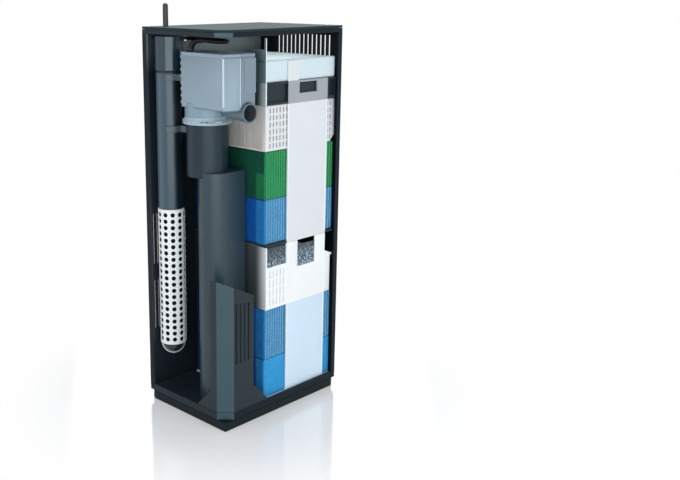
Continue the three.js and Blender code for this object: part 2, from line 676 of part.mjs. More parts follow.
function impeller() {
  const bore = SHAFT_RADIUS + RUNNING / 2;
  const magnetRadius = WELL_RADIUS - WELL_WALL - RUNNING;
  const vaneZ = voluteZ + RUNNING;
  const magnetTop = voluteTop + MAGNET_HEIGHT;
  let body = disc(magnetRadius, vaneZ, magnetTop, 0, 0, 24);
  for (let i = 0; i < VANES; i += 1) {
    const thickness = [-VANE_THICKNESS / 2, VANE_THICKNESS / 2];
    const vane = block([0, VANE_REACH], thickness, [vaneZ, vaneZ + VANE_HEIGHT]);
    body = body.add(vane.rotate([0, 0, (360 / VANES) * i]));
  }
  return piece('impeller', body.subtract(disc(bore, vaneZ - 1, magnetTop + 1, 0, 0, 16)), magnet);
}

function impellerShaft() {
  const z0 = flangeZ + FLANGE_HEIGHT - BUSH_LENGTH;
  const z1 = voluteTop + WELL_HEIGHT - WELL_WALL - SEAT;
  return piece('impeller_shaft', disc(SHAFT_RADIUS, z0, z1, 0, 0, 16), ceramic);
}

// The stator's limbs stand each side of the rotor well and its yoke carries the coil at the right.
const statorZ = voluteTop + STATOR_RISE;
const statorTop = statorZ + STATOR_STACK;
const limbY = WELL_RADIUS + SEAT;
const yokeRight = boxRight - BOX_WALL - 2 * SEAT - WINDING;
const yokeLeft = yokeRight - YOKE;

function statorCore() {
  const reach = [-WELL_RADIUS, yokeRight];
  const height = [statorZ, statorTop];
  return piece('stator_core', join(
    block(reach, [limbY, limbY + STATOR_LIMB], height),
    block(reach, [-limbY - STATOR_LIMB, -limbY], height),
    block([yokeLeft, yokeRight], [-limbY - 1, limbY + 1], height),
  ), steel);
}

function statorCoil() {
  const half = limbY - SEAT;
  const winding = block([yokeLeft - WINDING, yokeRight + WINDING], [-half, half],
    [statorZ - WINDING, statorTop + WINDING]);
  const bore = block([yokeLeft - SEAT, yokeRight + SEAT], [-half - 1, half + 1],
    [statorZ - SEAT, statorTop + SEAT]);
  return piece('stator_coil', winding.subtract(bore), copper);
}

// ---- Suction pillar ------------------------------------------------------------------------
function suctionPillar() {
  const axisX = pumpX + PILLAR_OFFSET;
  const rear = mediaFront - FLANGE_TO_MEDIA + SLIDE;
  const z0 = floorTop + SEAT;
  const z1 = sleeveZ + PILLAR_COLLAR;
  const deck = sleeveZ - SEAT;
  const section = (r, y1) => {
    const shape = new THREE.Shape();
    shape.moveTo(axisX - r, y1);
    shape.lineTo(axisX - r, pumpY);
    shape.absarc(axisX, pumpY, r, Math.PI, 2 * Math.PI, false);
    shape.lineTo(axisX + r, y1);
    shape.closePath();
    return shape;
  };
  const duct = prismZ(section(PILLAR_RADIUS, rear), z0, z1, 20);
  const hollow = prismZ(section(PILLAR_RADIUS - PILLAR_WALL, rear - PILLAR_WALL), z0 - 1,
    deck - PILLAR_WALL, 20);
  const pocket = disc(SLEEVE_RADIUS + SEAT, deck, z1 + 1, pumpX, pumpY, 44);
  const socket = disc(SPIGOT_RADIUS + SEAT, deck - PILLAR_WALL - 1, deck + 1,
    pumpX + SPIGOT_OFFSET, pumpY, 28);
  const inlet = block(
    [axisX - PILLAR_INLET_WIDTH / 2, axisX + PILLAR_INLET_WIDTH / 2],
    [rear - PILLAR_WALL - 1, rear + 1],
    [z0 - 1, z0 + PILLAR_INLET_HEIGHT],
  );
  return piece('suction_pillar', cut(duct, hollow, pocket, socket, inlet), slateLight);
}

// ---- Filter media and baskets ----------------------------------------------------------------
const plateFront = mediaFront + PLATE_INSET;
const plateBack = plateFront + PLATE_WIDTH;
const padLeft = mediaLeft + PLATE_WALL + PAD_GAP;
const padRight = mediaRight - PLATE_WALL - PAD_GAP;

function pad(name, z0, height, material) {
  return piece(name, block([padLeft, padRight], [mediaFront, mediaBack], [z0, z0 + height]), material);
}

function grid(z0) {
  let plate = block([mediaLeft, mediaRight], [mediaFront, mediaBack], [z0, z0 + GRID]);
  const pitch = (MEDIA_DEPTH - 2 * GRID_EDGE) / GRID_SLOTS;
  for (let i = 0; i < GRID_SLOTS; i += 1) {
    const y = mediaFront + GRID_EDGE + (i + 0.5) * pitch;
    plate = plate.subtract(block([mediaLeft + GRID_EDGE, mediaRight - GRID_EDGE],
      [y - GRID_SLOT_WIDTH / 2, y + GRID_SLOT_WIDTH / 2], [z0 - 1, z0 + GRID + 1]));
  }
  return plate;
}

function centrePlates(z0, z1) {
  return join(
    block([mediaRight - PLATE_WALL, mediaRight], [plateFront, plateBack], [z0, z1]),
    block([mediaLeft, mediaLeft + PLATE_WALL], [plateFront, plateBack], [z0, z1]),
  );
}

function upperBasket() {
  const outer = block([mediaLeft, mediaRight], [mediaFront, mediaBack], [bandZ, bandTop]);
  const inner = block([mediaLeft + BASKET_WALL, mediaRight - BASKET_WALL],
    [mediaFront + BASKET_WALL, mediaBack - BASKET_WALL], [bandZ - 1, bandTop + 1]);
  const partition = [mediaFront - SEAT - PARTITION_WALL, mediaFront - SEAT];
  let basket = join(outer.subtract(inner), centrePlates(upperGridZ + GRID / 2, bandZ + 1), grid(upperGridZ),
    block([mediaLeft, mediaRight], partition, [bandZ, mediaTop]),
    block([mediaLeft, mediaRight], [partition[0], mediaFront + BASKET_WALL], [bandZ, bandTop]),
    block([mediaRight - PARTITION_POST, mediaRight], partition, [bandZ, rimZ - PARTITION_TOP]));
  for (const { start, width, sill, head } of BAND_WINDOWS) {
    const window = [mediaFront + start, mediaFront + start + width];
    basket = basket.subtract(block([mediaRight - BASKET_WALL - 1, mediaRight + 1], window,
      [bandZ + sill, bandTop - head]));
  }
  return piece('upper_basket', basket, basketGrey);
}

// An open tray, filled with carbon.
function carbonCartridge() {
  const z1 = cartridgeZ + CARTRIDGE_HEIGHT;
  const wall = CARTRIDGE_WALL;
  const tray = block([padLeft, padRight], [mediaFront, mediaBack], [cartridgeZ, z1]);
  const room = block([padLeft + wall, padRight - wall], [mediaFront + wall, mediaBack - wall],
    [cartridgeZ + wall, z1 + 1]);
  return piece('carbon_cartridge', tray.subtract(room), white);
}

function carbonFill() {
  const inset = CARTRIDGE_WALL + PAD_GAP;
  const fill = block([padLeft + inset, padRight - inset], [mediaFront + inset, mediaBack - inset],
    [cartridgeZ + inset, cartridgeZ + CARTRIDGE_HEIGHT - 1]);
  return piece('carbon_fill', fill, carbon);
}

// The tub in (y, z), moved in by inset, with its rim lowered by drop. Its rear rim slopes down.
function tubOutline(inset, drop = 0) {
  const y0 = mediaFront + inset;
  const y1 = mediaBack - inset - TUB_BACK_ROOM;
  const high = tubTop - drop;
  return [
    [y0, tubZ + inset], [y1, tubZ + inset], [y1, high - TUB_SHOULDER],
    [mediaFront + TUB_SLOPE_START, high], [y0, high],
  ];
}

function lowerBasket() {
  const tubBack = mediaBack - TUB_BACK_ROOM;
  const rearRim = tubTop - TUB_SHOULDER;
  const tub = join(
    prismX(tubOutline(0), mediaLeft, mediaRight),
    block([mediaLeft, mediaRight], [tubBack - 1, tubBack + TUB_LIP], [rearRim - TUB_LIP, rearRim]),
  );
  const room = join(
    prismX(tubOutline(BASKET_WALL), mediaLeft + BASKET_WALL, mediaRight - BASKET_WALL),
    block([mediaLeft + BASKET_WALL, mediaRight - BASKET_WALL],
      [mediaFront + BASKET_WALL, tubBack - BASKET_WALL], [rearRim - 1, tubTop + 1]),
  );
  const windows = TUB_WINDOWS.map(({ start, width, sill }) => block(
    [mediaRight - BASKET_WALL - 1, mediaRight + 1],
    [mediaFront + start, mediaFront + start + width],
    [tubZ + sill, tubTop + 1],
  ));
  const plates = centrePlates(lowerGridZ + GRID / 2, tubTop);
  const basket = join(cut(join(cut(tub, room), plates), ...windows), grid(lowerGridZ));
  return piece('lower_basket', basket, basketGrey);
}

function ceramicGranules() {
  const inset = BASKET_WALL + PAD_GAP;
  const heap = prismX(tubOutline(inset, GRANULE_DROP), mediaLeft + inset, mediaRight - inset);
  return piece('ceramic_granules', heap, granule);
}

// ---- Mains lead ------------------------------------------------------------------------------
const glandX = pumpX + boxLeft + GLAND_INSET_X;
const glandY = pumpY + boxFront + GLAND_INSET_Y;
const leadExitY = mediaFront - LEAD_EXIT_INSET;
const leadExitZ = rimZ - LEAD_EXIT_DROP;
const coilX = outLeft - COIL_AWAY;
const coilY = leadExitY + COIL_OUTER;

// The lead's middle line, from the gland on the pump to the start of its coil: a loose turn over
// the pump, out through the notch in the side wall, down behind it and along the surface.
const leadPoints = [
  [glandX + 1.2, glandY, boxTop + 3.1], [glandX + 5.2, glandY + 1, boxTop + 7.2],
  [glandX + 11.5, glandY + 3, boxTop + 10.2], [glandX + 19, glandY + 6.2, boxTop + 10.8],
  [glandX + 25.5, glandY + 11, boxTop + 10.6], [glandX + 29.6, glandY + 17.5, boxTop + 10.4],
  [glandX + 30, glandY + 24, boxTop + 10.3], [glandX + 26.6, glandY + 31, boxTop + 10.4],
  [glandX + 20.5, glandY + 36, boxTop + 10.5], [glandX + 12, leadExitY, leadExitZ],
  [glandX - 8, leadExitY, leadExitZ], [left + 12, leadExitY, leadExitZ],
  [outLeft - 2, leadExitY, leadExitZ], [outLeft - 10, leadExitY, leadExitZ - 2.4],
  [outLeft - 16.5, leadExitY, leadExitZ - 8.6], [outLeft - 19.6, leadExitY, leadExitZ - 17.5],
  [outLeft - 20, leadExitY, leadExitZ - 40], [outLeft - 20, leadExitY, leadExitZ - 140],
  [outLeft - 20, leadExitY, LEAD_REST + 140], [outLeft - 20, leadExitY, LEAD_REST + 40],
  [outLeft - 20.4, leadExitY, LEAD_REST + 17.5], [outLeft - 23.5, leadExitY, LEAD_REST + 8.6],
  [outLeft - 30, leadExitY, LEAD_REST + 2.2], [outLeft - 38, leadExitY, LEAD_REST],
  [coilX + 2 * LEAD_RADIUS + SEAT, leadExitY, LEAD_REST],
].map(([x, y, z]) => new THREE.Vector3(x, y, z));

function leadRun() {
  const route = new THREE.CatmullRomCurve3(leadPoints, false, 'centripetal');
  const section = new THREE.Shape();
  section.absarc(0, 0, LEAD_RADIUS, 0, 2 * Math.PI, false);
  const geometry = new THREE.ExtrudeGeometry(section, { steps: 64, curveSegments: 8, extrudePath: route });
  return piece('lead_run', solidOf(geometry), black);
}

// Where the coil's middle line is after a number of turns, clockwise from its front. It winds in
// on the surface, climbs a layer in the half turn round the middle, and winds out on top.
const coilTurns = 2 * COIL_LAYER_TURNS + COIL_CLIMB_TURNS;

function coilPoint(turn) {
  const climb = THREE.MathUtils.clamp((turn - COIL_LAYER_TURNS) / COIL_CLIMB_TURNS, 0, 1);
  const radius = COIL_OUTER - COIL_PITCH * Math.min(turn, coilTurns - turn);
  const angle = -Math.PI / 2 - turn * 2 * Math.PI;
  const rise = (climb - Math.sin(2 * Math.PI * climb) / (2 * Math.PI)) * LAYER_RISE;
  const x = coilX + radius * Math.cos(angle);
  return new THREE.Vector3(x, coilY + radius * Math.sin(angle), LEAD_REST + rise);
}

function coilLine() {
  const count = Math.round(coilTurns * COIL_STEPS);
  const points = [];
  for (let i = 0; i <= count; i += 1) points.push(coilPoint((i / count) * coilTurns));
  points.unshift(points[0].clone().add(new THREE.Vector3(2 * LEAD_RADIUS, 0, 0)));
  points.push(points[points.length - 1].clone().add(new THREE.Vector3(0, COIL_TAIL, 0)));
  return points;
}

// A tube of flat rings, one on each point, square to the line there, closed at both ends.
function tubeAlong(points, radius, sides) {
  const up = new THREE.Vector3(0, 0, 1);
  const vertices = [];
  points.forEach((point, i) => {
    const before = points[Math.max(i - 1, 0)];
    const after = points[Math.min(i + 1, points.length - 1)];
    const along = after.clone().sub(before).normalize();
    const across = along.clone().cross(up).normalize();
    const over = across.clone().cross(along);
    for (let s = 0; s < sides; s += 1) {
      const angle = ((s + 0.5) / sides) * 2 * Math.PI;
      const offset = across.clone().multiplyScalar(radius * Math.cos(angle))
        .addScaledVector(over, radius * Math.sin(angle));
      vertices.push(...point.clone().add(offset).toArray());
    }
  });
  const faces = [];
  const rings = points.length;
  for (let i = 0; i < rings - 1; i += 1) {
    for (let s = 0; s < sides; s += 1) {
      const a = i * sides + s;
      const b = i * sides + ((s + 1) % sides);
      faces.push(a, b + sides, b, a, a + sides, b + sides);
    }
  }
  for (let s = 1; s < sides - 1; s += 1) {
    const end = (rings - 1) * sides;
    faces.push(0, s, s + 1, end, end + s + 1, end + s);
  }
  const geometry = new THREE.BufferGeometry();
  geometry.setAttribute('position', new THREE.BufferAttribute(new Float32Array(vertices), 3));
  geometry.setIndex(faces);
  geometry.computeVertexNormals();
  return geometry;
}

// Least gap between turns that are not neighbours along the line.
function leastGap(points, diameter) {
  let least = Infinity;
  const skip = Math.round(COIL_STEPS / 2);
  for (let i = 0; i < points.length; i += 1) {
    for (let j = i + skip; j < points.length; j += 1) {
      least = Math.min(least, points[i].distanceTo(points[j]) - diameter);
    }
  }
  return least;
}

function leadCoil() {
  const points = coilLine();
  console.log(`lead coil: least gap to itself ${leastGap(points, 2 * LEAD_RADIUS).toFixed(2)} mm`);
  return piece('lead_coil', tubeAlong(points, LEAD_RADIUS, COIL_SIDES), black);
}

function mainsPlug() {
  const end = coilPoint(coilTurns);
  const y0 = end.y + COIL_TAIL + SEAT;
  const neckEnd = y0 + PLUG_NECK;
  const bodyEnd = neckEnd + PLUG_LENGTH;
  const half = PLUG_WIDTH / 2;
  const shoulder = PLUG_WIDTH / 4;
  const body = prismZ(outline([
    [end.x - shoulder, neckEnd], [end.x + shoulder, neckEnd], [end.x + half, neckEnd + shoulder],
    [end.x + half, bodyEnd], [end.x - half, bodyEnd], [end.x - half, neckEnd + shoulder],
  ]), end.z - PLUG_HEIGHT / 2 + SEAT, end.z + PLUG_HEIGHT / 2);
  const rod = (radius, start, length, x) => turned([[0, 0], [radius, 0], [radius, length], [0, length]], 16)
    .rotate([-90, 0, 0])
    .translate([x, start, end.z]);
  return piece('mains_plug', join(
    body,
    rod(PLUG_NECK_RADIUS, y0, PLUG_NECK + 1, end.x),
    rod(PIN_RADIUS, bodyEnd - 1, PIN_LENGTH + 1, end.x - PIN_PITCH / 2),
    rod(PIN_RADIUS, bodyEnd - 1, PIN_LENGTH + 1, end.x + PIN_PITCH / 2),
  ), black);
}

function leadGland() {
  const x = glandX - pumpX;
  const y = glandY - pumpY;
  return piece('lead_gland', join(
    disc(GLAND_RADIUS, boxTop + SEAT, boxTop + GLAND_RISE, x, y, 20),
    disc(GLAND_NECK, boxTop - BOX_WALL, boxTop + 1, x, y, 20),
  ), black);
}

// ---- The whole filter ------------------------------------------------------------------------
const housing = new THREE.Group();
housing.add(basePlinth(), floorPan(), sideWall(), backWall(), cornerShell(), topFrame(), suctionPillar());

const cover = new THREE.Group();
cover.add(topCover());

const heater = new THREE.Group();
heater.position.set(heaterX, heaterY, 0);
heater.add(heaterTube(), heaterSeal(), heaterCap(), heaterGuard(), heatingCore(), thermostat());
heater.add(...heaterClips());
const spindle = temperatureSpindle();
spindle.position.x = -SPINDLE_OFFSET;
heater.add(spindle);

const pump = new THREE.Group();
pump.position.set(pumpX, pumpY, 0);
pump.add(pumpHousing(), pumpVolute(), voluteFlange(), intakeSleeve(), outletNozzle());
pump.add(impeller(), impellerShaft(), ...shaftBushes(), statorCore(), statorCoil(), leadGland());

const media = new THREE.Group();
media.add(
  lowerBasket(),
  pad('lower_fine_pad', lowerFineZ, LOWER_FINE_PAD, brightBlue),
  pad('lower_coarse_pad', lowerCoarseZ, LOWER_COARSE_PAD, blue),
  ceramicGranules(),
  upperBasket(),
  pad('upper_fine_pad', upperFineZ, UPPER_FINE_PAD, blue),
  pad('nitrate_pad', greenZ, GREEN_PAD, green),
  carbonCartridge(),
  carbonFill(),
  pad('floss_pad', flossZ, FLOSS_PAD, floss),
);

const lead = new THREE.Group();
lead.add(leadRun(), leadCoil(), mainsPlug());

const filter = new THREE.Group();
filter.add(housing, cover, heater, pump, media, lead);

export default filter;
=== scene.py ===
# An in-tank box filter, cut open on two sides so that its heater, pump and filter media show.
# Metres, +Z up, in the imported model's own frame.
import json
from math import cos, hypot, pi, radians, sin

import bmesh
import bpy
from mathutils import Matrix, Vector, noise


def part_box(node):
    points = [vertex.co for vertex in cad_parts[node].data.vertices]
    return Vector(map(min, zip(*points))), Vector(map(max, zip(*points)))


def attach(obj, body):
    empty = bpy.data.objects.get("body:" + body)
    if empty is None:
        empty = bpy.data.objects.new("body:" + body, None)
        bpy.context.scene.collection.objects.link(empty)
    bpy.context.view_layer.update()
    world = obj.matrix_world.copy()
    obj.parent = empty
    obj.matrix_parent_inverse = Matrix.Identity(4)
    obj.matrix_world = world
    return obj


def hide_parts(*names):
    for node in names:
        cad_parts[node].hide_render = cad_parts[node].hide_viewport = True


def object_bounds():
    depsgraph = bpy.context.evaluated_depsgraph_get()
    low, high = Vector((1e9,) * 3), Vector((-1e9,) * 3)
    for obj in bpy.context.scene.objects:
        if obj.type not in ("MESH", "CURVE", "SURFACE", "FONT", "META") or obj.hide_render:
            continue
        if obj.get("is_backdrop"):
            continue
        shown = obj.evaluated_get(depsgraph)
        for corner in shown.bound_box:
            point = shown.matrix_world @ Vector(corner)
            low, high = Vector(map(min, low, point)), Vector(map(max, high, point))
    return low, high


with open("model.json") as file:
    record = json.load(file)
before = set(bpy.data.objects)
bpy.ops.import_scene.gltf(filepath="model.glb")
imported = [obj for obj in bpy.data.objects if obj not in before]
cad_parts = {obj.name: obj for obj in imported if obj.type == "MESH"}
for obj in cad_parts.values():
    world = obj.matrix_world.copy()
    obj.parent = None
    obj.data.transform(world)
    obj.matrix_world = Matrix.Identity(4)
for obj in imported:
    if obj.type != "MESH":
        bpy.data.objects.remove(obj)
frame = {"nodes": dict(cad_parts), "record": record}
cad_low, cad_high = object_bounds()
nodes = frame["nodes"]
record = frame["record"]
body_of = {name: body for body, held in record["behaviour"]["bodies"].items() for name in held}
mm = 0.001

# ---- Camera --------------------------------------------------------------------------------
# It stands before the cut corner, just above the height of the filter's top, and looks down a
# little.
# The shift puts the filter left of the picture's middle, as it is framed in the photograph.
camera = bpy.data.objects.new("camera", bpy.data.cameras.new("camera"))
bpy.context.scene.collection.objects.link(camera)
bpy.context.scene.camera = camera
camera_turn = radians(45.72)
camera_dip = radians(13.51)
camera.location = (0.7516, -0.7316, 0.4773)
camera.rotation_euler = (pi / 2 - camera_dip, 0, camera_turn)
camera.data.sensor_width = 36
camera.data.lens = 49.2
camera.data.shift_x = 0.140
camera.data.shift_y = -0.044

# ---- Mains lead ----------------------------------------------------------------------------
# A round two-core lead in soft black sheath. It makes a loose turn over the pump, leaves
# through a notch in the side wall, comes down behind it and is wound into a coil on the floor.
lead_radius = 2.2 * mm
lead_rest = 2.5 * mm            # middle of the turns that lie on the floor
exit_y = -31 * mm
exit_z = 420.6 * mm
wall_x = -65 * mm
gland_low, gland_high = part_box("lead_gland")
gland = (gland_low + gland_high) / 2
case_low, case_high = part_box("pump_housing")
over_pump = (                   # millimetres from the gland's middle and above the case
    (1.2, 0, 3.1), (2.8, 0.6, 7.8), (7.4, 2.1, 11.4), (15, 4.8, 12.2), (23, 9.4, 11.3),
    (28.8, 16, 10.6), (30, 24, 10.3), (26.6, 31, 10.4), (20.5, 36, 10.5),
)
to_notch = (gland.x + 12 * mm, gland.x - 8 * mm, wall_x + 15 * mm, wall_x - 2 * mm)
behind_wall = (                 # a height, and millimetres out from the wall and above that height
    (exit_z, 10, -2.4), (exit_z, 16.5, -8.6), (exit_z, 19.6, -17.5), (exit_z, 20, -40),
    (exit_z, 20, -140), (lead_rest, 20, 140), (lead_rest, 20, 40), (lead_rest, 20.4, 17.5),
    (lead_rest, 23.5, 8.6), (lead_rest, 30, 2.2), (lead_rest, 38, 0),
)
lead_points = [(gland.x + x * mm, gland.y + y * mm, case_high.z + z * mm) for x, y, z in over_pump]
lead_points += [(x, exit_y, exit_z) for x in to_notch]
lead_points += [(wall_x - out * mm, exit_y, level + z * mm) for level, out, z in behind_wall]
coil_radius = 33.4 * mm
coil_pitch = 5 * mm
layer_turns = 2.875
climb_turns = 0.5
coil_turns = 2 * layer_turns + climb_turns
coil_steps = 24                 # points to a turn
layer_rise = 5 * mm
coil_x = wall_x - 44 * mm
coil_y = exit_y + coil_radius
coil_tail = 20 * mm


def coil_point(turn):
    """The lead's middle after some turns: in on the floor, up half a turn, and out on top."""
    climb = min(max((turn - layer_turns) / climb_turns, 0), 1)
    radius = coil_radius - coil_pitch * min(turn, coil_turns - turn)
    angle = -pi / 2 - turn * 2 * pi
    rise = (climb - sin(2 * pi * climb) / (2 * pi)) * layer_rise
    return (coil_x + radius * cos(angle), coil_y + radius * sin(angle), lead_rest + rise)


coil_count = round(coil_turns * coil_steps)
coil_points = [coil_point(coil_turns * i / coil_count) for i in range(coil_count + 1)]
lead_end = (coil_points[-1][0], coil_points[-1][1] + coil_tail, coil_points[-1][2])


def fill(tree, made, values):
    """Sets a node's inputs. A value is a plain one or another node's output."""
    for name, value in values.items():
        if isinstance(value, bpy.types.NodeSocket):
            tree.links.new(value, made.inputs[name])
        else:
            made.inputs[name].default_value = value
    return made


def node(tree, kind, values=None, **settings):
    """A node in a tree, with its settings and inputs."""
    made = tree.nodes.new(kind)
    for name, value in settings.items():
        setattr(made, name, value)
    return fill(tree, made, values or {})


def maths(tree, operation, first, second):
    return node(tree, "ShaderNodeMath", {0: first, 1: second}, operation=operation).outputs[0]


def place_in(tree, axis=None):
    """The place on the object, or its height along one axis."""
    place = node(tree, "ShaderNodeTexCoord").outputs["Object"]
    return node(tree, "ShaderNodeSeparateXYZ", {0: place}).outputs[axis] if axis else place


def cloudy(tree, scale, **values):
    """Noise over the object, from 0 to 1."""
    return node(tree, "ShaderNodeTexNoise",
                {"Vector": place_in(tree), "Scale": scale, **values}).outputs["Fac"]


def ranged(tree, value, start, end, low=0.0, high=1.0, **settings):
    """Carries a value from one range into another."""
    return node(tree, "ShaderNodeMapRange", {
        "Value": value, "From Min": start, "From Max": end, "To Min": low, "To Max": high},
        **settings).outputs[0]


def mixed_colour(tree, share, first, second):
    """The colour between two, each a plain one or another node's output."""
    first, second = ((*c, 1) if isinstance(c, tuple) else c for c in (first, second))
    return node(tree, "ShaderNodeMix", {0: share, 6: first, 7: second}, data_type="RGBA").outputs[2]


def shaded(tree, colour, value):
    """A colour made lighter or darker."""
    return node(tree, "ShaderNodeHueSaturation", {"Color": colour, "Value": value}).outputs[0]


def group_tree(name, kind, inputs, outputs):
    """An empty node group with its named sockets, and its input and output nodes."""
    tree = bpy.data.node_groups.new(name, kind)
    for socket, (socket_type, value) in inputs.items():
        made = tree.interface.new_socket(socket, in_out="INPUT", socket_type="NodeSocket" + socket_type)
        if value is not None:
            made.default_value = value
    for socket, socket_type in outputs.items():
        tree.interface.new_socket(socket, in_out="OUTPUT", socket_type="NodeSocket" + socket_type)
    return tree, tree.nodes.new("NodeGroupInput").outputs, tree.nodes.new("NodeGroupOutput")


def moulded_group():
    """Moulded plastic: faint cloudy colour, uneven gloss and a fine grain from the tool."""
    tree, given, out = group_tree("moulded_surface", "ShaderNodeTree", {
        "Colour": ("Color", (0.5, 0.5, 0.5, 1)), "Cloud": ("Float", 0.1), "Gloss": ("Float", 0.4),
        "Grain": ("Float", 0.1), "Grain Scale": ("Float", 2200.0)},
        {"Colour": "Color", "Roughness": "Float", "Normal": "Vector"})
    centred = maths(tree, "SUBTRACT", cloudy(tree, 38.0, Detail=4.0), 0.5)
    value = maths(tree, "ADD", maths(tree, "MULTIPLY", centred, given["Cloud"]), 1.0)
    bump = node(tree, "ShaderNodeBump", {
        "Strength": given["Grain"], "Distance": 0.0002,
        "Height": cloudy(tree, given["Grain Scale"], Detail=2.0, Roughness=0.6)})
    fill(tree, out, {"Colour": shaded(tree, given["Colour"], value), "Normal": bump.outputs[0],
                     "Roughness": maths(tree, "MULTIPLY", given["Gloss"], value)})
    return tree


moulded_surface = moulded_group()


def new_material(name, **values):
    """A material with plain values for some of its shader's inputs, its tree and its shader."""
    made = bpy.data.materials.new(name)
    made.use_nodes = True
    shader = made.node_tree.nodes["Principled BSDF"]
    fill(made.node_tree, shader, {socket.replace("_", " "): value for socket, value in values.items()})
    return made, made.node_tree, shader


def moulded(tree, shader, **given):
    """Gives a shader the moulded surface."""
    surface = node(tree, "ShaderNodeGroup", {
        socket.replace("_", " "): value for socket, value in given.items()}, node_tree=moulded_surface)
    fill(tree, shader, {"Base Color": surface.outputs["Colour"], "Normal": surface.outputs["Normal"],
                        "Roughness": surface.outputs["Roughness"]})


def plastic(name, colour, gloss, cloud=0.12, grain=0.12, grain_scale=2200.0, specular=0.5):
    """A moulded plastic of one colour."""
    made, tree, shader = new_material(name, Specular_IOR_Level=specular)
    moulded(tree, shader, Colour=(*colour, 1), Cloud=cloud, Gloss=gloss, Grain=grain,
            Grain_Scale=grain_scale)
    return made


sheath = plastic("black_sheath", (0.006, 0.007, 0.008), 0.5, grain=0.2, grain_scale=900.0,
                 specular=0.3)


def joined_on(piece, node_name):
    """Gives the piece the body of a CAD node."""
    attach(piece, body_of[node_name])
    return piece


def stand_in_for(piece, *replaced):
    """The piece takes the place of CAD nodes, and the first one's body."""
    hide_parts(*replaced)
    return joined_on(piece, replaced[0])


def put(name, data, material=None):
    """An object that holds the data, in the scene."""
    made = bpy.data.objects.new(name, data)
    bpy.context.scene.collection.objects.link(made)
    if material:
        data.materials.clear()
        data.materials.append(material)
    return made


def round_cord(name, points, radius, material):
    """A round cord on a smooth line through the points."""
    data = bpy.data.curves.new(name, "CURVE")
    data.dimensions = "3D"
    data.bevel_depth = radius
    data.bevel_resolution = 6
    data.use_fill_caps = True
    data.resolution_u = 5
    line = data.splines.new("BEZIER")
    line.bezier_points.add(len(points) - 1)
    for knot, point in zip(line.bezier_points, points):
        knot.co = point
        knot.handle_left_type = knot.handle_right_type = "AUTO"
    return put(name, data, material)


lead = round_cord("lead", lead_points + coil_points + [lead_end], lead_radius, sheath)


def smooth(data, crease=35):
    """Smooth shading up to the creases."""
    data.polygons.foreach_set("use_smooth", [True] * len(data.polygons))
    data.set_sharp_from_angle(angle=radians(crease))


weld_gap = 1e-6


def closed_mesh(name, build, material, crease=35):
    """A piece from a bmesh, with its faces turned outwards and smooth up to its creases."""
    bmesh.ops.remove_doubles(build, verts=build.verts, dist=weld_gap)
    bmesh.ops.recalc_face_normals(build, faces=build.faces)
    data = bpy.data.meshes.new(name)
    build.to_mesh(data)
    build.free()
    smooth(data, crease)
    return put(name, data, material)


def modified(piece, kind, crease=35, **settings):
    """Puts one modifier on the piece and turns it into plain mesh."""
    made = piece.modifiers.new("step", kind)
    for name, value in settings.items():
        setattr(made, name, value)
    return settle(piece, crease)


def settle(piece, crease=35):
    """Turns the piece's modifiers into plain mesh."""
    seen = piece.evaluated_get(bpy.context.evaluated_depsgraph_get())
    done = bpy.data.meshes.new_from_object(seen)
    piece.modifiers.clear()
    piece.data = done
    smooth(done, crease)
    return piece


def rounded(piece, width, segments=2, angle=35, keep_flat=True):
    """Rounds the piece's edges over, as they come out of a mould."""
    modified(piece, "BEVEL", angle, width=width, segments=segments, limit_method="ANGLE",
             angle_limit=radians(angle), use_clamp_overlap=True)
    if keep_flat:
        modified(piece, "WEIGHTED_NORMAL", angle, mode="FACE_AREA", weight=100, keep_sharp=True)
    return piece


def wall_between(build, low, high):
    """Faces between two rings of corners. A ring of one corner is a point."""
    for i in range(max(len(low), len(high))):
        corners = [low[i % len(low)], low[(i + 1) % len(low)],
                   high[(i + 1) % len(high)], high[i % len(high)]]
        corners = list(dict.fromkeys(corners))
        if len(corners) > 2:
            build.faces.new(corners)


def turned(build, profile, centre=(0, 0), segments=96):
    """Adds a shape turned round a vertical axis, from (radius, z) points."""
    rings = []
    for radius, z in profile:
        count = 1 if radius < 1e-7 else segments
        rings.append([build.verts.new((centre[0] + radius * cos(2 * pi * i / segments),
                                       centre[1] + radius * sin(2 * pi * i / segments), z))
                      for i in range(count)])
    closed = len(rings[0]) > 1 or len(rings[-1]) > 1
    for low, high in zip(rings, rings[1:] + (rings[:1] if closed else [])):
        wall_between(build, low, high)
    return build


def laid(build, new_verts, centre, degrees, axis):
    """Turns vertices made round the Z axis so that they lie along another, from a centre."""
    turn = Matrix.Translation(centre) @ Matrix.Rotation(radians(degrees), 4, axis)
    bmesh.ops.transform(build, matrix=turn, verts=new_verts)
    return build


def point_on(line, distance):
    """The point a distance along a polyline, and the direction there."""
    for a, b in zip(line, line[1:]):
        length = (b - a).length
        if distance <= length:
            return a + (b - a) * (distance / length), (b - a).normalized()
        distance -= length
    return line[-1], (line[-1] - line[-2]).normalized()


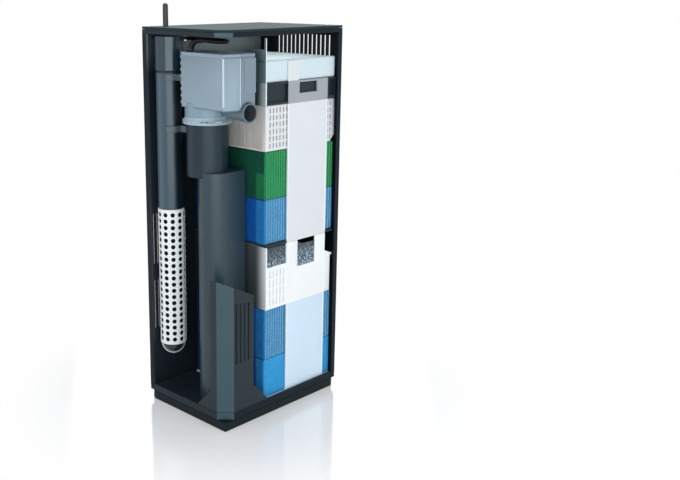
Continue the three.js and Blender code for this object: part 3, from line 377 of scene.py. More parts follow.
# The gland's tapered and ribbed sleeve, which keeps the lead from kinking where it leaves the pump.
relief_length = 20 * mm
relief_start = 3.4 * mm
relief_end = 2.6 * mm
relief_groove = 0.25 * mm
relief_rings = 18
relief_sides = 20
relief_line = [Vector(point) for point in lead_points[:6]]
relief_build = bmesh.new()
relief_loops = []
for ring in range(relief_rings + 1):
    share = ring / relief_rings
    spot, along = point_on(relief_line, share * relief_length)
    across = along.cross(Vector((0, 0, 1))).normalized()
    over = across.cross(along)
    radius = relief_start + (relief_end - relief_start) * share - (relief_groove if ring % 2 else 0)
    relief_loops.append([relief_build.verts.new(spot + radius * (cos(a) * across + sin(a) * over))
                         for a in (2 * pi * s / relief_sides for s in range(relief_sides))])
for low, high in zip(relief_loops, relief_loops[1:]):
    wall_between(relief_build, low, high)
relief_build.faces.new(relief_loops[0])
relief_build.faces.new(relief_loops[-1])
relief = closed_mesh("lead_relief", relief_build, sheath, crease=50)
stand_in_for(put("lead_gland_ring", nodes["lead_gland"].data.copy(), sheath), "lead_gland")
joined_on(relief, "lead_gland")

# The plug: a flat two-pin one, its body moulded onto the lead, with grip grooves and sleeved pins.
plug_low, plug_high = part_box("mains_plug")
plug_x = (plug_low.x + plug_high.x) / 2
plug_z = lead_end[2]
plug_neck = 12 * mm
plug_body = 34 * mm
plug_edge = 2.2 * mm
pin_length = 19 * mm
pin_radius = 2 * mm
pin_tip = pin_radius - 0.15 * mm
pin_sleeve = 10 * mm
pin_pitch = 18.6 * mm
half = 13 * mm
shoulder = 6.5 * mm
neck_gap = 0.3 * mm
neck_y = lead_end[1] + neck_gap
body_y = neck_y + plug_neck
body = bmesh.new()
outline = [(-shoulder, 0), (shoulder, 0), (half, shoulder), (half, plug_body),
           (-half, plug_body), (-half, shoulder)]
lower, upper = ([body.verts.new((plug_x + x, body_y + y, z)) for x, y in outline]
                for z in (plug_low.z, plug_high.z))
body.faces.new(lower)
body.faces.new(upper)
wall_between(body, lower, upper)
plug = rounded(closed_mesh("plug_body", body, sheath), plug_edge, segments=4, angle=20)
neck_grooves = 5
neck_radius = 2.9 * mm
neck_spread = 0.22 * mm         # wider at each groove
neck_groove = 0.5 * mm
neck_profile = [(0, 0)]
for i in range(neck_grooves):
    ring_z = i * plug_neck / neck_grooves
    wide = neck_radius + neck_spread * i
    narrow = wide - neck_groove
    neck_profile += [(wide, ring_z), (wide, ring_z + 1.5 * mm), (narrow, ring_z + 1.6 * mm),
                     (narrow, ring_z + 2.3 * mm)]
neck_profile += [(3.6 * mm, plug_neck + mm), (0, plug_neck + mm)]
neck_build = turned(bmesh.new(), neck_profile, segments=32)
laid(neck_build, neck_build.verts[:], (plug_x, neck_y, plug_z), -90, "X")
neck = closed_mesh("plug_neck", neck_build, sheath)
pin_metal, pin_tree, pin_shader = new_material(
    "plated_pin", Base_Color=(0.62, 0.60, 0.55, 1), Metallic=1.0)
fill(pin_tree, pin_shader, {"Roughness": ranged(pin_tree, cloudy(pin_tree, 900.0), 0.0, 1.0, 0.18, 0.38)})
pins = bmesh.new()
sleeves = bmesh.new()
for side in (-1, 1):
    for build, start, end, radius in ((sleeves, -1 * mm, pin_sleeve, pin_radius),
                                      (pins, pin_sleeve, pin_length, pin_tip)):
        before = len(build.verts)
        turned(build, [(0, start), (radius, start), (radius, end - 0.8 * mm),
                       (radius - 0.7 * mm, end), (0, end)], segments=24)
        build.verts.ensure_lookup_table()
        laid(build, build.verts[before:],
             (plug_x + side * pin_pitch / 2, body_y + plug_body, plug_z), -90, "X")
sleeve_piece = closed_mesh("plug_pin_sleeves", sleeves, sheath)
pin_piece = closed_mesh("plug_pins", pins, pin_metal)
stand_in_for(plug, "mains_plug")
for extra in (neck, sleeve_piece, pin_piece):
    joined_on(extra, "mains_plug")
stand_in_for(lead, "lead_run", "lead_coil")

# ---- Housing -------------------------------------------------------------------------------
# Dark slate plastic: a plinth, a floor with a low rail, two whole walls with slots, the corner
# that is left standing before the cut, a frame round the top, and a lift-off cover.
slate = plastic("slate_plastic", (0.012, 0.020, 0.028), 0.46, specular=0.18)
plinth_slate = plastic("plinth_plastic", (0.004, 0.009, 0.012), 0.50, specular=0.15)
slate_corner = plastic("slate_corner_plastic", (0.010, 0.020, 0.027), 0.42, specular=0.26)
# painted light for the corner's facets, and painted shade for the cut edges and +X faces
painted_light_facet_slate = plastic("painted_light_facet_plastic", (0.030, 0.064, 0.084), 0.40, specular=0.36)
painted_shade_edge_slate = plastic("painted_shade_edge_plastic", (0.006, 0.012, 0.018), 0.48, specular=0.12)
# the cover's top, paler by a painted reflection, and its darker upright sides
cover_painted_sheen = plastic("cover_painted_sheen_plastic", (0.072, 0.102, 0.106), 0.66, specular=0.04)
cover_edge = plastic("cover_edge_plastic", (0.016, 0.034, 0.044), 0.60, specular=0.08)
# painted shade, for the back wall's inside and the lips of its slots
painted_shade_slate = plastic("painted_shade_slate_plastic", (0.003, 0.005, 0.009), 0.55, specular=0.08)
coplanar = 2                    # degrees, for pieces that keep all but their flat joins sharp


def moulding(name, material, edge, segments=2, merged=True):
    """The CAD piece's own shape with rounded edges."""
    build = bmesh.new()
    build.from_mesh(nodes[name].data)
    bmesh.ops.remove_doubles(build, verts=build.verts, dist=weld_gap)
    if merged:
        bmesh.ops.dissolve_limit(build, angle_limit=radians(0.5), verts=build.verts,
                                 edges=build.edges)
    piece = closed_mesh(name + "_moulding", build, material)
    rounded(piece, edge, segments, keep_flat=merged)
    if not merged:
        smooth(piece.data, coplanar)
    return stand_in_for(piece, name)


def repaint(piece, *choices):
    """Gives each face the first finish whose test its middle and normal pass."""
    first = len(piece.data.materials)
    for material, _ in choices:
        piece.data.materials.append(material)
    for face in piece.data.polygons:
        for index, (_, test) in enumerate(choices):
            if test(face.center, face.normal):
                face.material_index = first + index
                break
    return piece


def reworked(piece, change, crease=35):
    """Changes the piece's mesh by a function that works on its bmesh."""
    build = bmesh.new()
    build.from_mesh(piece.data)
    change(build)
    build.to_mesh(piece.data)
    build.free()
    smooth(piece.data, crease)
    return piece


def cut_along(build, spot, way, **settings):
    """Cuts a bmesh's faces along a plane."""
    return bmesh.ops.bisect_plane(build, geom=build.verts[:] + build.edges[:] + build.faces[:],
                                  plane_co=spot, plane_no=way, **settings)


def sliced(piece, *planes, crease=35):
    """Cuts a piece's faces along planes, each given as a point and a direction."""
    return reworked(piece, lambda build: [cut_along(build, *plane) for plane in planes], crease)


def at_level(z):
    return (0, 0, z), (0, 0, 1)


def trimmed(piece, spot, way):
    """Cuts off the part of a solid piece that lies beyond a plane, and closes the cut."""
    def change(build):
        cut = cut_along(build, spot, way, clear_outer=True)
        rim = [part for part in cut["geom_cut"] if isinstance(part, bmesh.types.BMEdge)]
        bmesh.ops.holes_fill(build, edges=rim, sides=0)
    return reworked(piece, change)


moulding("base_plinth", plinth_slate, 1.0 * mm, 3)
pan = moulding("floor_pan", slate, 0.5 * mm)
side = moulding("side_wall", slate, 0.2 * mm)
back = moulding("back_wall", slate, 0.2 * mm)
shell = moulding("corner_shell", slate_corner, 0.5 * mm)
frame_rim = moulding("top_frame", slate, 0.3 * mm)
cover = moulding("top_cover", cover_painted_sheen, 0.4 * mm, 3)
rim_low, rim_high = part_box("top_frame")
rim_sink = 0.3 * mm             # the frame is pressed down onto the walls
for vertex in frame_rim.data.vertices:
    if vertex.co.z < (rim_low.z + rim_high.z) / 2:
        vertex.co.z -= rim_sink

# Painted light on the side wall's inside, lighter towards its top where light falls in under the
# cover, and painted shade on the back wall's inside.
lit_start = 385 * mm
lit_end = 412 * mm
inner_face = -64 * mm
lit_wall, lit_tree, lit_shader = new_material("lit_wall_plastic", Roughness=0.5)
lit_share = ranged(lit_tree, place_in(lit_tree, "Z"), lit_start, lit_end)
fill(lit_tree, lit_shader, {"Base Color": mixed_colour(
    lit_tree, lit_share, (0.013, 0.020, 0.028), (0.115, 0.140, 0.146))})
repaint(side, (lit_wall, lambda spot, way: way.x > 0.7 and spot.x > inner_face))

# Painted shade darkens the cut edges and the faces that look along +X, and painted light brightens
# the facets across the corner.
repaint(side, (painted_shade_edge_slate, lambda spot, way: way.y < -0.9))
for holder in (back, frame_rim, pan):
    repaint(holder, (painted_shade_edge_slate, lambda spot, way: way.x > 0.9))
for holder in (shell, frame_rim, pan):
    repaint(holder, (painted_light_facet_slate, lambda spot, way: way.x > 0.5 and way.y < -0.5
                     and abs(way.z) < 0.5))
repaint(back, (painted_shade_slate, lambda spot, way: way.y < -0.9))
# The cover's top keeps its painted reflection, and its upright sides are darker.
repaint(cover, (cover_edge, lambda spot, way: abs(way.z) < 0.5))

# ---- Heater --------------------------------------------------------------------------------
# A tinted glass tube with a dark heating body, held by two clips. A white perforated guard
# covers the warm half, and a black spindle on the cap sets the temperature through the cover.
cap_plastic = plastic("heater_cap_plastic", (0.009, 0.032, 0.050), 0.20, specular=0.60)
clip_plastic = plastic("clip_plastic", (0.060, 0.082, 0.100), 0.38)
guard_white = plastic("guard_plastic", (0.80, 0.82, 0.84), 0.34, cloud=0.04)
black_gloss = plastic("black_plastic", (0.008, 0.009, 0.011), 0.25)
heating_dark = plastic("dark_ceramic", (0.020, 0.022, 0.026), 0.6, grain=0.5, grain_scale=700.0)
relay_dark = plastic("thermostat_plastic", (0.020, 0.028, 0.034), 0.45)
seal_rubber = plastic("seal_rubber", (0.014, 0.014, 0.015), 0.6)
guard_low, guard_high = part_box("heater_guard")
tube_low, tube_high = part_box("heater_tube")
cap_low, cap_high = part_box("heater_cap")
heater_x = (tube_low.x + tube_high.x) / 2
heater_y = (tube_low.y + tube_high.y) / 2
heater = (heater_x, heater_y)
tube_radius = (tube_high.x - tube_low.x) / 2
tube_wall = 1.2 * mm
dome_steps = 12
pump_way = (0.70, 0.71, 0)      # from the heater towards the pump
shade_span = (tube_radius * 0.30, tube_radius * 0.62)


def tinted_glass(name, colour, rim_highlight_colour, rim_blend, rim_range, pump_side_shade):
    """Smoked glass over a dark core: a painted highlight at its rim, painted shade by the pump."""
    made, tree, shader = new_material(name, Roughness=0.32, Specular_IOR_Level=0.35,
                                      Coat_Weight=0.45, Coat_Roughness=0.26)
    from_axis = node(tree, "ShaderNodeVectorMath", {
        0: place_in(tree), 1: (heater_x, heater_y, 0)}, operation="SUBTRACT")
    to_pump = node(tree, "ShaderNodeVectorMath", {
        0: from_axis.outputs[0], 1: pump_way}, operation="DOT_PRODUCT").outputs["Value"]
    shade = ranged(tree, to_pump, *shade_span, 1.0, 1.0 - pump_side_shade)
    tint = ranged(tree, cloudy(tree, 22.0), 0.0, 1.0, 0.9, 1.1)
    turned_away = node(tree, "ShaderNodeLayerWeight", {"Blend": rim_blend}).outputs["Facing"]
    edged = mixed_colour(tree, ranged(tree, turned_away, *rim_range), colour, rim_highlight_colour)
    fill(tree, shader, {"Base Color": shaded(tree, edged, maths(tree, "MULTIPLY", tint, shade))})
    return made


# The open tube and the dome, each with a painted highlight at its rim, the tube also with painted shade
# by the pump.
tube_glass = tinted_glass("heater_glass", (0.022, 0.050, 0.072), (0.16, 0.26, 0.34), 0.25, (0.0, 1.0),
                          0.85)
dome_glass = tinted_glass("heater_dome_glass", (0.006, 0.014, 0.020), (0.76, 0.86, 0.94), 0.5,
                          (0.46, 0.70), 0.0)
# The glass under the guard is painted near black, as the shade seen through the guard's holes.
covered_glass_shade = plastic("covered_glass_shade", (0.002, 0.003, 0.004), 0.5, specular=0.1)


def domed_tube(radius, wall, low, high):
    """A closed tube's profile, round at its low end: up the outside and down the inside."""
    angles = [pi / 2 * i / dome_steps for i in range(dome_steps + 1)]
    inner = radius - wall
    outside = [(radius * sin(a), low + radius * (1 - cos(a))) for a in angles]
    inside = [(inner * sin(a), low + radius - inner * cos(a)) for a in reversed(angles)]
    return outside + [(radius, high), (inner, high)] + inside


tube = closed_mesh("heater_glass_tube",
                   turned(bmesh.new(), domed_tube(tube_radius, tube_wall, tube_low.z, tube_high.z),
                          heater), tube_glass)
covered_top = guard_high.z - 1 * mm
sliced(tube, at_level(guard_low.z), at_level(covered_top))
repaint(tube, (dome_glass, lambda spot, way: spot.z < guard_low.z),
        (covered_glass_shade, lambda spot, way: spot.z < covered_top))
stand_in_for(tube, "heater_tube")


def new_tree(name, inputs):
    """An empty geometry tree with its named inputs, and its input and output nodes."""
    return group_tree(name, "GeometryNodeTree", {**inputs, "Material": ("Material", None)},
                      {"Geometry": "Geometry"})


def grown(name, tree, material, **values):
    """The plain mesh that a geometry tree gives with these values."""
    piece = put(name, bpy.data.meshes.new(name))
    maker = piece.modifiers.new("maker", "NODES")
    maker.node_group = tree
    sockets = {item.name: item.identifier for item in tree.interface.items_tree
               if item.in_out == "INPUT"}
    maker[sockets["Material"]] = material
    for socket, value in values.items():
        maker[sockets[socket.replace("_", " ")]] = value
    return settle(piece)


def lattice(tree, columns, rows, step_x, step_y):
    """Points in columns along X and rows along Y, centred on the origin."""
    index = node(tree, "GeometryNodeInputIndex").outputs[0]
    column = maths(tree, "MODULO", index, columns)
    row = maths(tree, "FLOOR", maths(tree, "DIVIDE", index, columns), 0.0)
    across = []
    for place, count, step in ((column, columns, step_x), (row, rows, step_y)):
        middle = maths(tree, "MULTIPLY", maths(tree, "SUBTRACT", count, 1.0), 0.5)
        across.append(maths(tree, "MULTIPLY", maths(tree, "SUBTRACT", place, middle), step))
    spot = node(tree, "ShaderNodeCombineXYZ", {"X": across[0], "Y": across[1]})
    return node(tree, "GeometryNodePoints", {
        "Count": maths(tree, "MULTIPLY", columns, rows), "Position": spot.outputs[0],
        "Radius": mm}).outputs[0]


def copied_to(tree, given, out, points, shape, **settings):
    """Puts the shape on the points, as plain mesh in the given material."""
    copies = node(tree, "GeometryNodeInstanceOnPoints",
                  {"Points": points, "Instance": shape, **settings})
    real = node(tree, "GeometryNodeRealizeInstances", {"Geometry": copies.outputs[0]})
    merged = node(tree, "GeometryNodeMergeByDistance", {"Geometry": real.outputs[0], "Distance": 2e-5})
    painted = node(tree, "GeometryNodeSetMaterial",
                   {"Geometry": merged.outputs[0], "Material": given["Material"]})
    fill(tree, out, {0: painted.outputs[0]})
    return tree


def perforated_tree():
    """A flat sheet of cells, each with a round-cornered hole, centred on the origin."""
    tree, given, out = new_tree("perforated_sheet", {
        "Cell Width": ("Float", 0.01), "Cell Height": ("Float", 0.01), "Hole": ("Float", 0.004),
        "Hole Round": ("Float", 0.002), "Columns": ("Int", 4), "Rows": ("Int", 4)})
    cell = node(tree, "GeometryNodeCurvePrimitiveQuadrilateral",
                {"Width": given["Cell Width"], "Height": given["Cell Height"]})
    border = node(tree, "GeometryNodeResampleCurve", {"Curve": cell.outputs[0], "Count": 24})
    hole = node(tree, "GeometryNodeCurvePrimitiveQuadrilateral",
                {"Width": given["Hole"], "Height": given["Hole"]})
    soft = node(tree, "GeometryNodeFilletCurve", {
        "Curve": hole.outputs[0], "Count": 4, "Radius": given["Hole Round"]}, mode="POLY")
    both = node(tree, "GeometryNodeJoinGeometry", {0: border.outputs[0]})
    fill(tree, both, {0: soft.outputs[0]})
    filled = node(tree, "GeometryNodeFillCurve", {"Curve": both.outputs[0]})
    spots = lattice(tree, given["Columns"], given["Rows"], given["Cell Width"], given["Cell Height"])
    return copied_to(tree, given, out, spots, filled.outputs[0])


guard_radius = (guard_high.x - guard_low.x) / 2
guard_wall = 0.55 * mm
guard_columns = 11
guard_rows = 21
guard_hole = 5.3 * mm
guard_band = 2.4 * mm
guard_turn = radians(-42)
band_steps = guard_columns * 6
guard_weld = 0.03 * mm
guard = grown("heater_guard_mesh", perforated_tree(), guard_white,
              Cell_Width=2 * pi * guard_radius / guard_columns,
              Cell_Height=(guard_high.z - guard_low.z - 2 * guard_band) / guard_rows,
              Hole=guard_hole, Hole_Round=guard_hole / 2.001,
              Columns=guard_columns, Rows=guard_rows)


def on_guard(turn, z):
    """A place on the guard's outside."""
    return (heater_x + guard_radius * sin(turn), heater_y - guard_radius * cos(turn), z)


def bent_and_banded(build):
    """Bends the flat sheet into a standing tube, and adds its plain bands at both ends."""
    middle_z = (guard_low.z + guard_high.z) / 2
    for vertex in build.verts:
        vertex.co = on_guard(vertex.co.x / guard_radius + guard_turn, middle_z + vertex.co.y)
    for low, high in ((guard_low.z, guard_low.z + guard_band),
                      (guard_high.z - guard_band, guard_high.z)):
        for i in range(band_steps):
            a, b = (2 * pi * (i + k) / band_steps + guard_turn for k in (0, 1))
            build.faces.new([build.verts.new(on_guard(turn, z))
                             for turn, z in ((a, low), (b, low), (b, high), (a, high))])
    bmesh.ops.remove_doubles(build, verts=build.verts, dist=guard_weld)
    bmesh.ops.recalc_face_normals(build, faces=build.faces)


reworked(guard, bent_and_banded)
stand_in_for(modified(guard, "SOLIDIFY", thickness=guard_wall, offset=-1.0), "heater_guard")

cap_radius = (cap_high.x - cap_low.x) / 2
cap_edge = 0.6 * mm
cap_top_edge = 2 * mm
cap_bottom = tube_high.z + 2.2 * mm
cap_profile = [
    (0, cap_bottom), (cap_radius - cap_edge, cap_bottom), (cap_radius, cap_bottom + cap_edge),
    (cap_radius, cap_high.z - cap_top_edge), (cap_radius - cap_top_edge, cap_high.z), (0, cap_high.z),
]
cap = closed_mesh("heater_cap_moulding", turned(bmesh.new(), cap_profile, heater), cap_plastic)
stand_in_for(rounded(cap, 0.3 * mm), "heater_cap")

spindle_low, spindle_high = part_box("temperature_spindle")
spindle_radius = (spindle_high.x - spindle_low.x) / 2
spindle_axis = ((spindle_low.x + spindle_high.x) / 2, (spindle_low.y + spindle_high.y) / 2)
spindle_profile = [(0, spindle_low.z), (spindle_radius, spindle_low.z)]
spindle_profile += [(spindle_radius * cos(a), spindle_high.z - spindle_radius * (1 - sin(a)))
                    for a in (pi / 2 * i / 10 for i in range(10))]
spindle_profile.append((0, spindle_high.z))
spindle = closed_mesh("temperature_spindle_rod",
                      turned(bmesh.new(), spindle_profile, spindle_axis, 48), black_gloss)
stand_in_for(spindle, "temperature_spindle")


def paint(material, *names):
    """CAD nodes whose shape is right take a finish."""
    for name in names:
        for holder in nodes[name].material_slots:
            holder.material = material


clip_reach = 0.14 * tube_radius         # each clip's hook stops a little past the tube's middle
for clip in ("heater_clip_upper", "heater_clip_lower"):
    trimmed(moulding(clip, clip_plastic, 0.4 * mm),
            (heater_x - clip_reach, heater_y - clip_reach, 0), -Vector(pump_way))
paint(seal_rubber, "heater_seal")
paint(relay_dark, "thermostat")
moulding("heating_core", heating_dark, 0.4 * mm)

# ---- Pump ----------------------------------------------------------------------------------
# A pale case with cooling ribs down its left edge hangs over the volute, whose flared flange
# locks into a dark intake sleeve. The outlet nozzle flares towards the open side.
case_plastic = plastic("pump_case_plastic", (0.246, 0.326, 0.392), 0.34, cloud=0.05)
case_shaded_side = plastic("pump_shaded_side_plastic", (0.188, 0.248, 0.298), 0.36, cloud=0.05)
case_top = plastic("pump_top_plastic", (0.215, 0.285, 0.345), 0.75, cloud=0.05, specular=0.1)
case_shadow_line = plastic("pump_shadow_line_plastic", (0.120, 0.165, 0.200), 0.5)
case_edge_highlight = plastic("pump_edge_highlight_plastic", (0.47, 0.57, 0.64), 0.26, cloud=0.05)
volute_plastic = plastic("volute_plastic", (0.205, 0.300, 0.368), 0.30, cloud=0.05)
flange_plastic = plastic("flange_plastic", (0.340, 0.440, 0.510), 0.28, cloud=0.05)
sleeve_plastic = plastic("sleeve_plastic", (0.011, 0.026, 0.038), 0.35, specular=0.28)
nozzle_plastic = plastic("nozzle_plastic", (0.096, 0.152, 0.176), 0.36)
bore_shade_plastic = plastic("nozzle_bore_shade_plastic", (0.045, 0.050, 0.056), 0.5, specular=0.3)
pillar_plastic = plastic("pillar_plastic", (0.020, 0.041, 0.056), 0.34, specular=0.46)
magnet_black = plastic("magnet_plastic", (0.026, 0.026, 0.028), 0.45)
shaft_ceramic = plastic("ceramic", (0.68, 0.66, 0.60), 0.22, cloud=0.05)


def banded_metal(name, roughness, scale, distortion, dark, light):
    """Metal in fine level bands, as of windings or stacked sheets."""
    made, tree, shader = new_material(name, Metallic=1.0, Roughness=roughness)
    bands = node(tree, "ShaderNodeTexWave", {
        "Vector": place_in(tree), "Scale": scale, "Distortion": distortion}, bands_direction="Z")
    fill(tree, shader, {"Base Color": mixed_colour(tree, bands.outputs["Fac"], dark, light)})
    return made


copper = banded_metal("enamelled_copper", 0.35, 500.0, 1.5, (0.36, 0.11, 0.035), (0.66, 0.28, 0.10))
core_steel = banded_metal("lamination_steel", 0.32, 700.0, 0.0, (0.34, 0.35, 0.36), (0.60, 0.61, 0.62))
case = moulding("pump_housing", case_plastic, 1.5 * mm, 4)
case_middle = (case_low + case_high) / 2
lid_line = case_high.z - 3.4 * mm
groove_width = 0.9 * mm
groove_depth = 0.25 * mm
skirt_line = case_low.z + 1.0 * mm
second_edge = -61.5 * mm        # the pump's second upright edge, on its open side


def lid_groove(build):
    """A sunk line round the case below its lid, painted as shade where it looks along +X."""
    for step in (-1 / 2, -1 / 6, 1 / 6, 1 / 2):
        cut_along(build, *at_level(lid_line + step * groove_width))
    build.normal_update()
    for vertex in build.verts:
        if abs(vertex.co.z - lid_line) < groove_width / 3:
            vertex.co += Vector((groove_depth if vertex.co.x < case_middle.x else -groove_depth,
                                 groove_depth if vertex.co.y < case_middle.y else -groove_depth, 0))
    for face in build.faces:
        if abs(face.calc_center_median().z - lid_line) < groove_width / 2 and face.normal.x > 0.9:
            face.material_index = 1


case.data.materials.append(case_shadow_line)
reworked(case, lid_groove)
sliced(case, at_level(skirt_line), ((0, second_edge, 0), (0, 1, 0)))
# Below the skirt line the case is painted dark as the shadow under its skirt.
repaint(case, (case_shadow_line, lambda spot, way: spot.z < skirt_line),
        (case_top, lambda spot, way: way.z > 0.9),
        # faces that look along +X past the second edge, painted darker as shade
        (case_shaded_side, lambda spot, way: way.x > 0.9 and spot.y > second_edge
         and abs(spot.z - lid_line) > groove_width / 2))


def bar_tree():
    """Columns and rows of one plain bar, centred on the origin."""
    tree, given, out = new_tree("bar_array", {
        "Size": ("Vector", (0.01, 0.01, 0.002)), "Columns": ("Int", 1), "Rows": ("Int", 1),
        "Column Pitch": ("Float", 0.01), "Row Pitch": ("Float", 0.01)})
    bar = node(tree, "GeometryNodeMeshCube", {"Size": given["Size"]})
    spots = lattice(tree, given["Columns"], given["Rows"], given["Column Pitch"], given["Row Pitch"])
    return copied_to(tree, given, out, spots, bar.outputs[0])


bar_array = bar_tree()


def facing(piece, normal, middle):
    """Turns a piece made flat round the origin so that its Z looks along a level direction."""
    out = Vector(normal)
    across = Vector((0, 0, 1)).cross(out)
    turn = Matrix((across, Vector((0, 0, 1)), out)).transposed().to_4x4()
    piece.data.transform(Matrix.Translation(middle) @ turn)
    return piece


def bars(name, owner, material, size, normal, middle, grid=(1, 1), pitch=(0.0, 0.0), edge=0.0,
         segments=2):
    """Plain bars in columns and rows that look along a level direction, on the owner's body.

    The size is the width, height and depth of one bar. Without an owner they are a cutter.
    """
    piece = grown(name, bar_array, material, Size=size, Columns=grid[0], Rows=grid[1],
                  Column_Pitch=pitch[0], Row_Pitch=pitch[1])
    facing(piece, normal, middle)
    if edge:
        rounded(piece, edge, segments)
    return joined_on(piece, owner) if owner else piece


# The back wall's slots are stepped, so that little light comes through, and their lips are painted shade.
back_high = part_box("back_wall")[1]
lip_size = (1.0 * mm, 62 * mm, 1.4 * mm)
lip_count = 13
lip_pitch = 6.6 * mm
lips_x = 10.3 * mm
lips_inset = 2.3 * mm
lips_drop = 35 * mm
bars("wall_slot_lips", "back_wall", painted_shade_slate, lip_size, (0, -1, 0),
     (lips_x, back_high.y - lips_inset, back_high.z - lips_drop), (lip_count, 1), (lip_pitch, 0.0))

rib_count = 8
rib_pitch = 6.9 * mm
rib_shift = 1.2 * mm
rib_height = 3.0 * mm
rib_reach = 1.3 * mm
rib_depth = case_high.y - case_low.y - 5 * mm
bars("pump_case_ribs", "pump_housing", case_plastic, (rib_depth, rib_height, 2 * rib_reach),
     (-1, 0, 0), (case_low.x, case_middle.y - rib_shift, case_middle.z), (1, rib_count),
     (0.0, rib_pitch), edge=0.5 * mm, segments=3)

panel_width = 16 * mm
panel_height = 36 * mm
panel_rise = 0.6 * mm
panel_end = 1 * mm              # from the case's far edge
panel_drop = 1.5 * mm           # below the lid's line
# The panel takes the same painted shade as the case's +X side.
bars("pump_case_panel", "pump_housing", case_shaded_side, (panel_width, panel_height, 2 * panel_rise),
     (1, 0, 0), (case_high.x, case_high.y - panel_end - panel_width / 2,
                 lid_line - panel_drop - panel_height / 2), edge=0.4 * mm)

# Strips up the chamfer's two edges, pale as painted highlights.
edge_height = 50 * mm
edge_depth = 0.8 * mm
edge_proud = 0.25 * mm
edge_drop = 0.7 * mm            # below the lid's line
case_edges = (                  # the chamfer's two edges: x, y, which way each looks, and its width
    (52 * mm, -80.2 * mm, radians(-56), 2.2 * mm),
    (58 * mm, second_edge, radians(0), 1.2 * mm),
)
for index, (x, y, turn, edge_width) in enumerate(case_edges):
    way = Vector((cos(turn), sin(turn), 0))
    bars("pump_case_edge_%d" % index, "pump_housing", case_edge_highlight, (edge_width, edge_height, edge_depth),
         way, Vector((x, y, lid_line - edge_drop - edge_height / 2))
         + way * (edge_proud - edge_depth / 2), edge=0.35 * mm, segments=3)

flange_low, flange_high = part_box("volute_flange")
pump_x = (flange_low.x + flange_high.x) / 2
pump_y = (flange_low.y + flange_high.y) / 2
flange_radius = (flange_high.x - flange_low.x) / 2
flare_start = flange_low.z + 2.0 * mm
flare_steps = 5
volute_radius = 24.5 * mm
moulding("pump_volute", volute_plastic, 0.5 * mm)
flange = moulding("volute_flange", flange_plastic, 0.3 * mm)


def flared(build):
    """Draws the flange's outer wall in to the volute at its top, above a thin lip."""
    rise = flange_high.z - flare_start
    for i in range(flare_steps):
        cut_along(build, *at_level(flare_start + rise * i / flare_steps))
    for vertex in build.verts:
        x, y = vertex.co.x - pump_x, vertex.co.y - pump_y
        away = hypot(x, y)
        if away > volute_radius and vertex.co.z > flare_start:
            share = min(1.0, (vertex.co.z - flare_start) / rise)
            limit = volute_radius + (flange_radius - volute_radius) * (1 - share) ** 1.8
            scale = min(1.0, limit / away)
            vertex.co.x, vertex.co.y = pump_x + x * scale, pump_y + y * scale


reworked(flange, flared)
lug_height = 2.6 * mm
round_flange = (                # name, turns, finish, size, how high and how far in, edge
    ("flange_lug", (-75, -15, 45, 105, 165, 225), flange_plastic,
     (7 * mm, lug_height, 1.4 * mm), 0.5, 1.2 * mm, 0.4 * mm),
    ("flange_latch", (-54, -44), sleeve_plastic, (3.2 * mm, 1.4 * mm, 1.6 * mm), 0.4, 1.4 * mm, 0),
)
for name, turns, material, size, level, inset, edge in round_flange:
    for index, turn in enumerate(turns):
        away = Vector((cos(radians(turn)), sin(radians(turn)), 0))
        bars("%s_%d" % (name, index), "volute_flange", material, size, away,
             Vector((pump_x, pump_y, flare_start + lug_height * level))
             + away * (flange_radius - inset), edge=edge)
moulding("intake_sleeve", sleeve_plastic, 0.5 * mm)


def along_x(profile, centre, segments=64):
    """A shape turned round a line along X, from (radius, distance) points."""
    build = turned(bmesh.new(), profile, (0, 0), segments)
    return laid(build, build.verts, centre, 90, "Y")


nozzle_low, nozzle_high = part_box("outlet_nozzle")
nozzle_start = (nozzle_low.x, (nozzle_low.y + nozzle_high.y) / 2, (nozzle_low.z + nozzle_high.z) / 2)
nozzle_length = nozzle_high.x - nozzle_low.x
mouth_radius = (nozzle_high.z - nozzle_low.z) / 2
root_radius = 6.6 * mm
body_radius = 9.0 * mm
nozzle_wall = 1.8 * mm
nozzle_profile = [
    (root_radius - nozzle_wall, 0), (root_radius, 0), (root_radius, 13 * mm), (body_radius, 16 * mm),
    (body_radius + 0.3 * mm, nozzle_length - 12 * mm), (mouth_radius - 0.4 * mm, nozzle_length - 4 * mm),
    (mouth_radius, nozzle_length), (mouth_radius - nozzle_wall, nozzle_length),
    (mouth_radius - nozzle_wall - 0.8 * mm, nozzle_length - 6 * mm),
    (root_radius - nozzle_wall, nozzle_length - 20 * mm),
]
nozzle = closed_mesh("outlet_nozzle_pipe", along_x(nozzle_profile, nozzle_start), nozzle_plastic)


def in_bore(spot, way):
    """Whether a face looks at the nozzle's own axis."""
    return way.y * (spot.y - nozzle_start[1]) + way.z * (spot.z - nozzle_start[2]) < -1e-5


# The nozzle's bore is painted darker, as the shade inside the pipe.
rounded(nozzle, 0.3 * mm)
stand_in_for(repaint(nozzle, (bore_shade_plastic, in_bore)), "outlet_nozzle")
# A painted shadow line arches over the nozzle where it leaves the case.
arch_radius = 11 * mm
arch_width = 0.9 * mm
arch_profile = [(arch_radius, 0), (arch_radius + arch_width, 0), (arch_radius + arch_width, arch_width),
                (arch_radius, arch_width)]
arch_shadow_line = closed_mesh("pump_arch_shadow_line", along_x(arch_profile, (
    case_high.x - arch_width * 0.6, nozzle_start[1], nozzle_start[2])), case_shadow_line)
trimmed(arch_shadow_line, (0, 0, case_low.z), (0, 0, -1))
joined_on(arch_shadow_line, "pump_housing")
moulding("suction_pillar", pillar_plastic, 0.8 * mm, 3)
paint(magnet_black, "impeller")
paint(shaft_ceramic, "impeller_shaft")
paint(seal_rubber, "shaft_bush_lower", "shaft_bush_upper")
paint(copper, "stator_coil")
paint(core_steel, "stator_core")

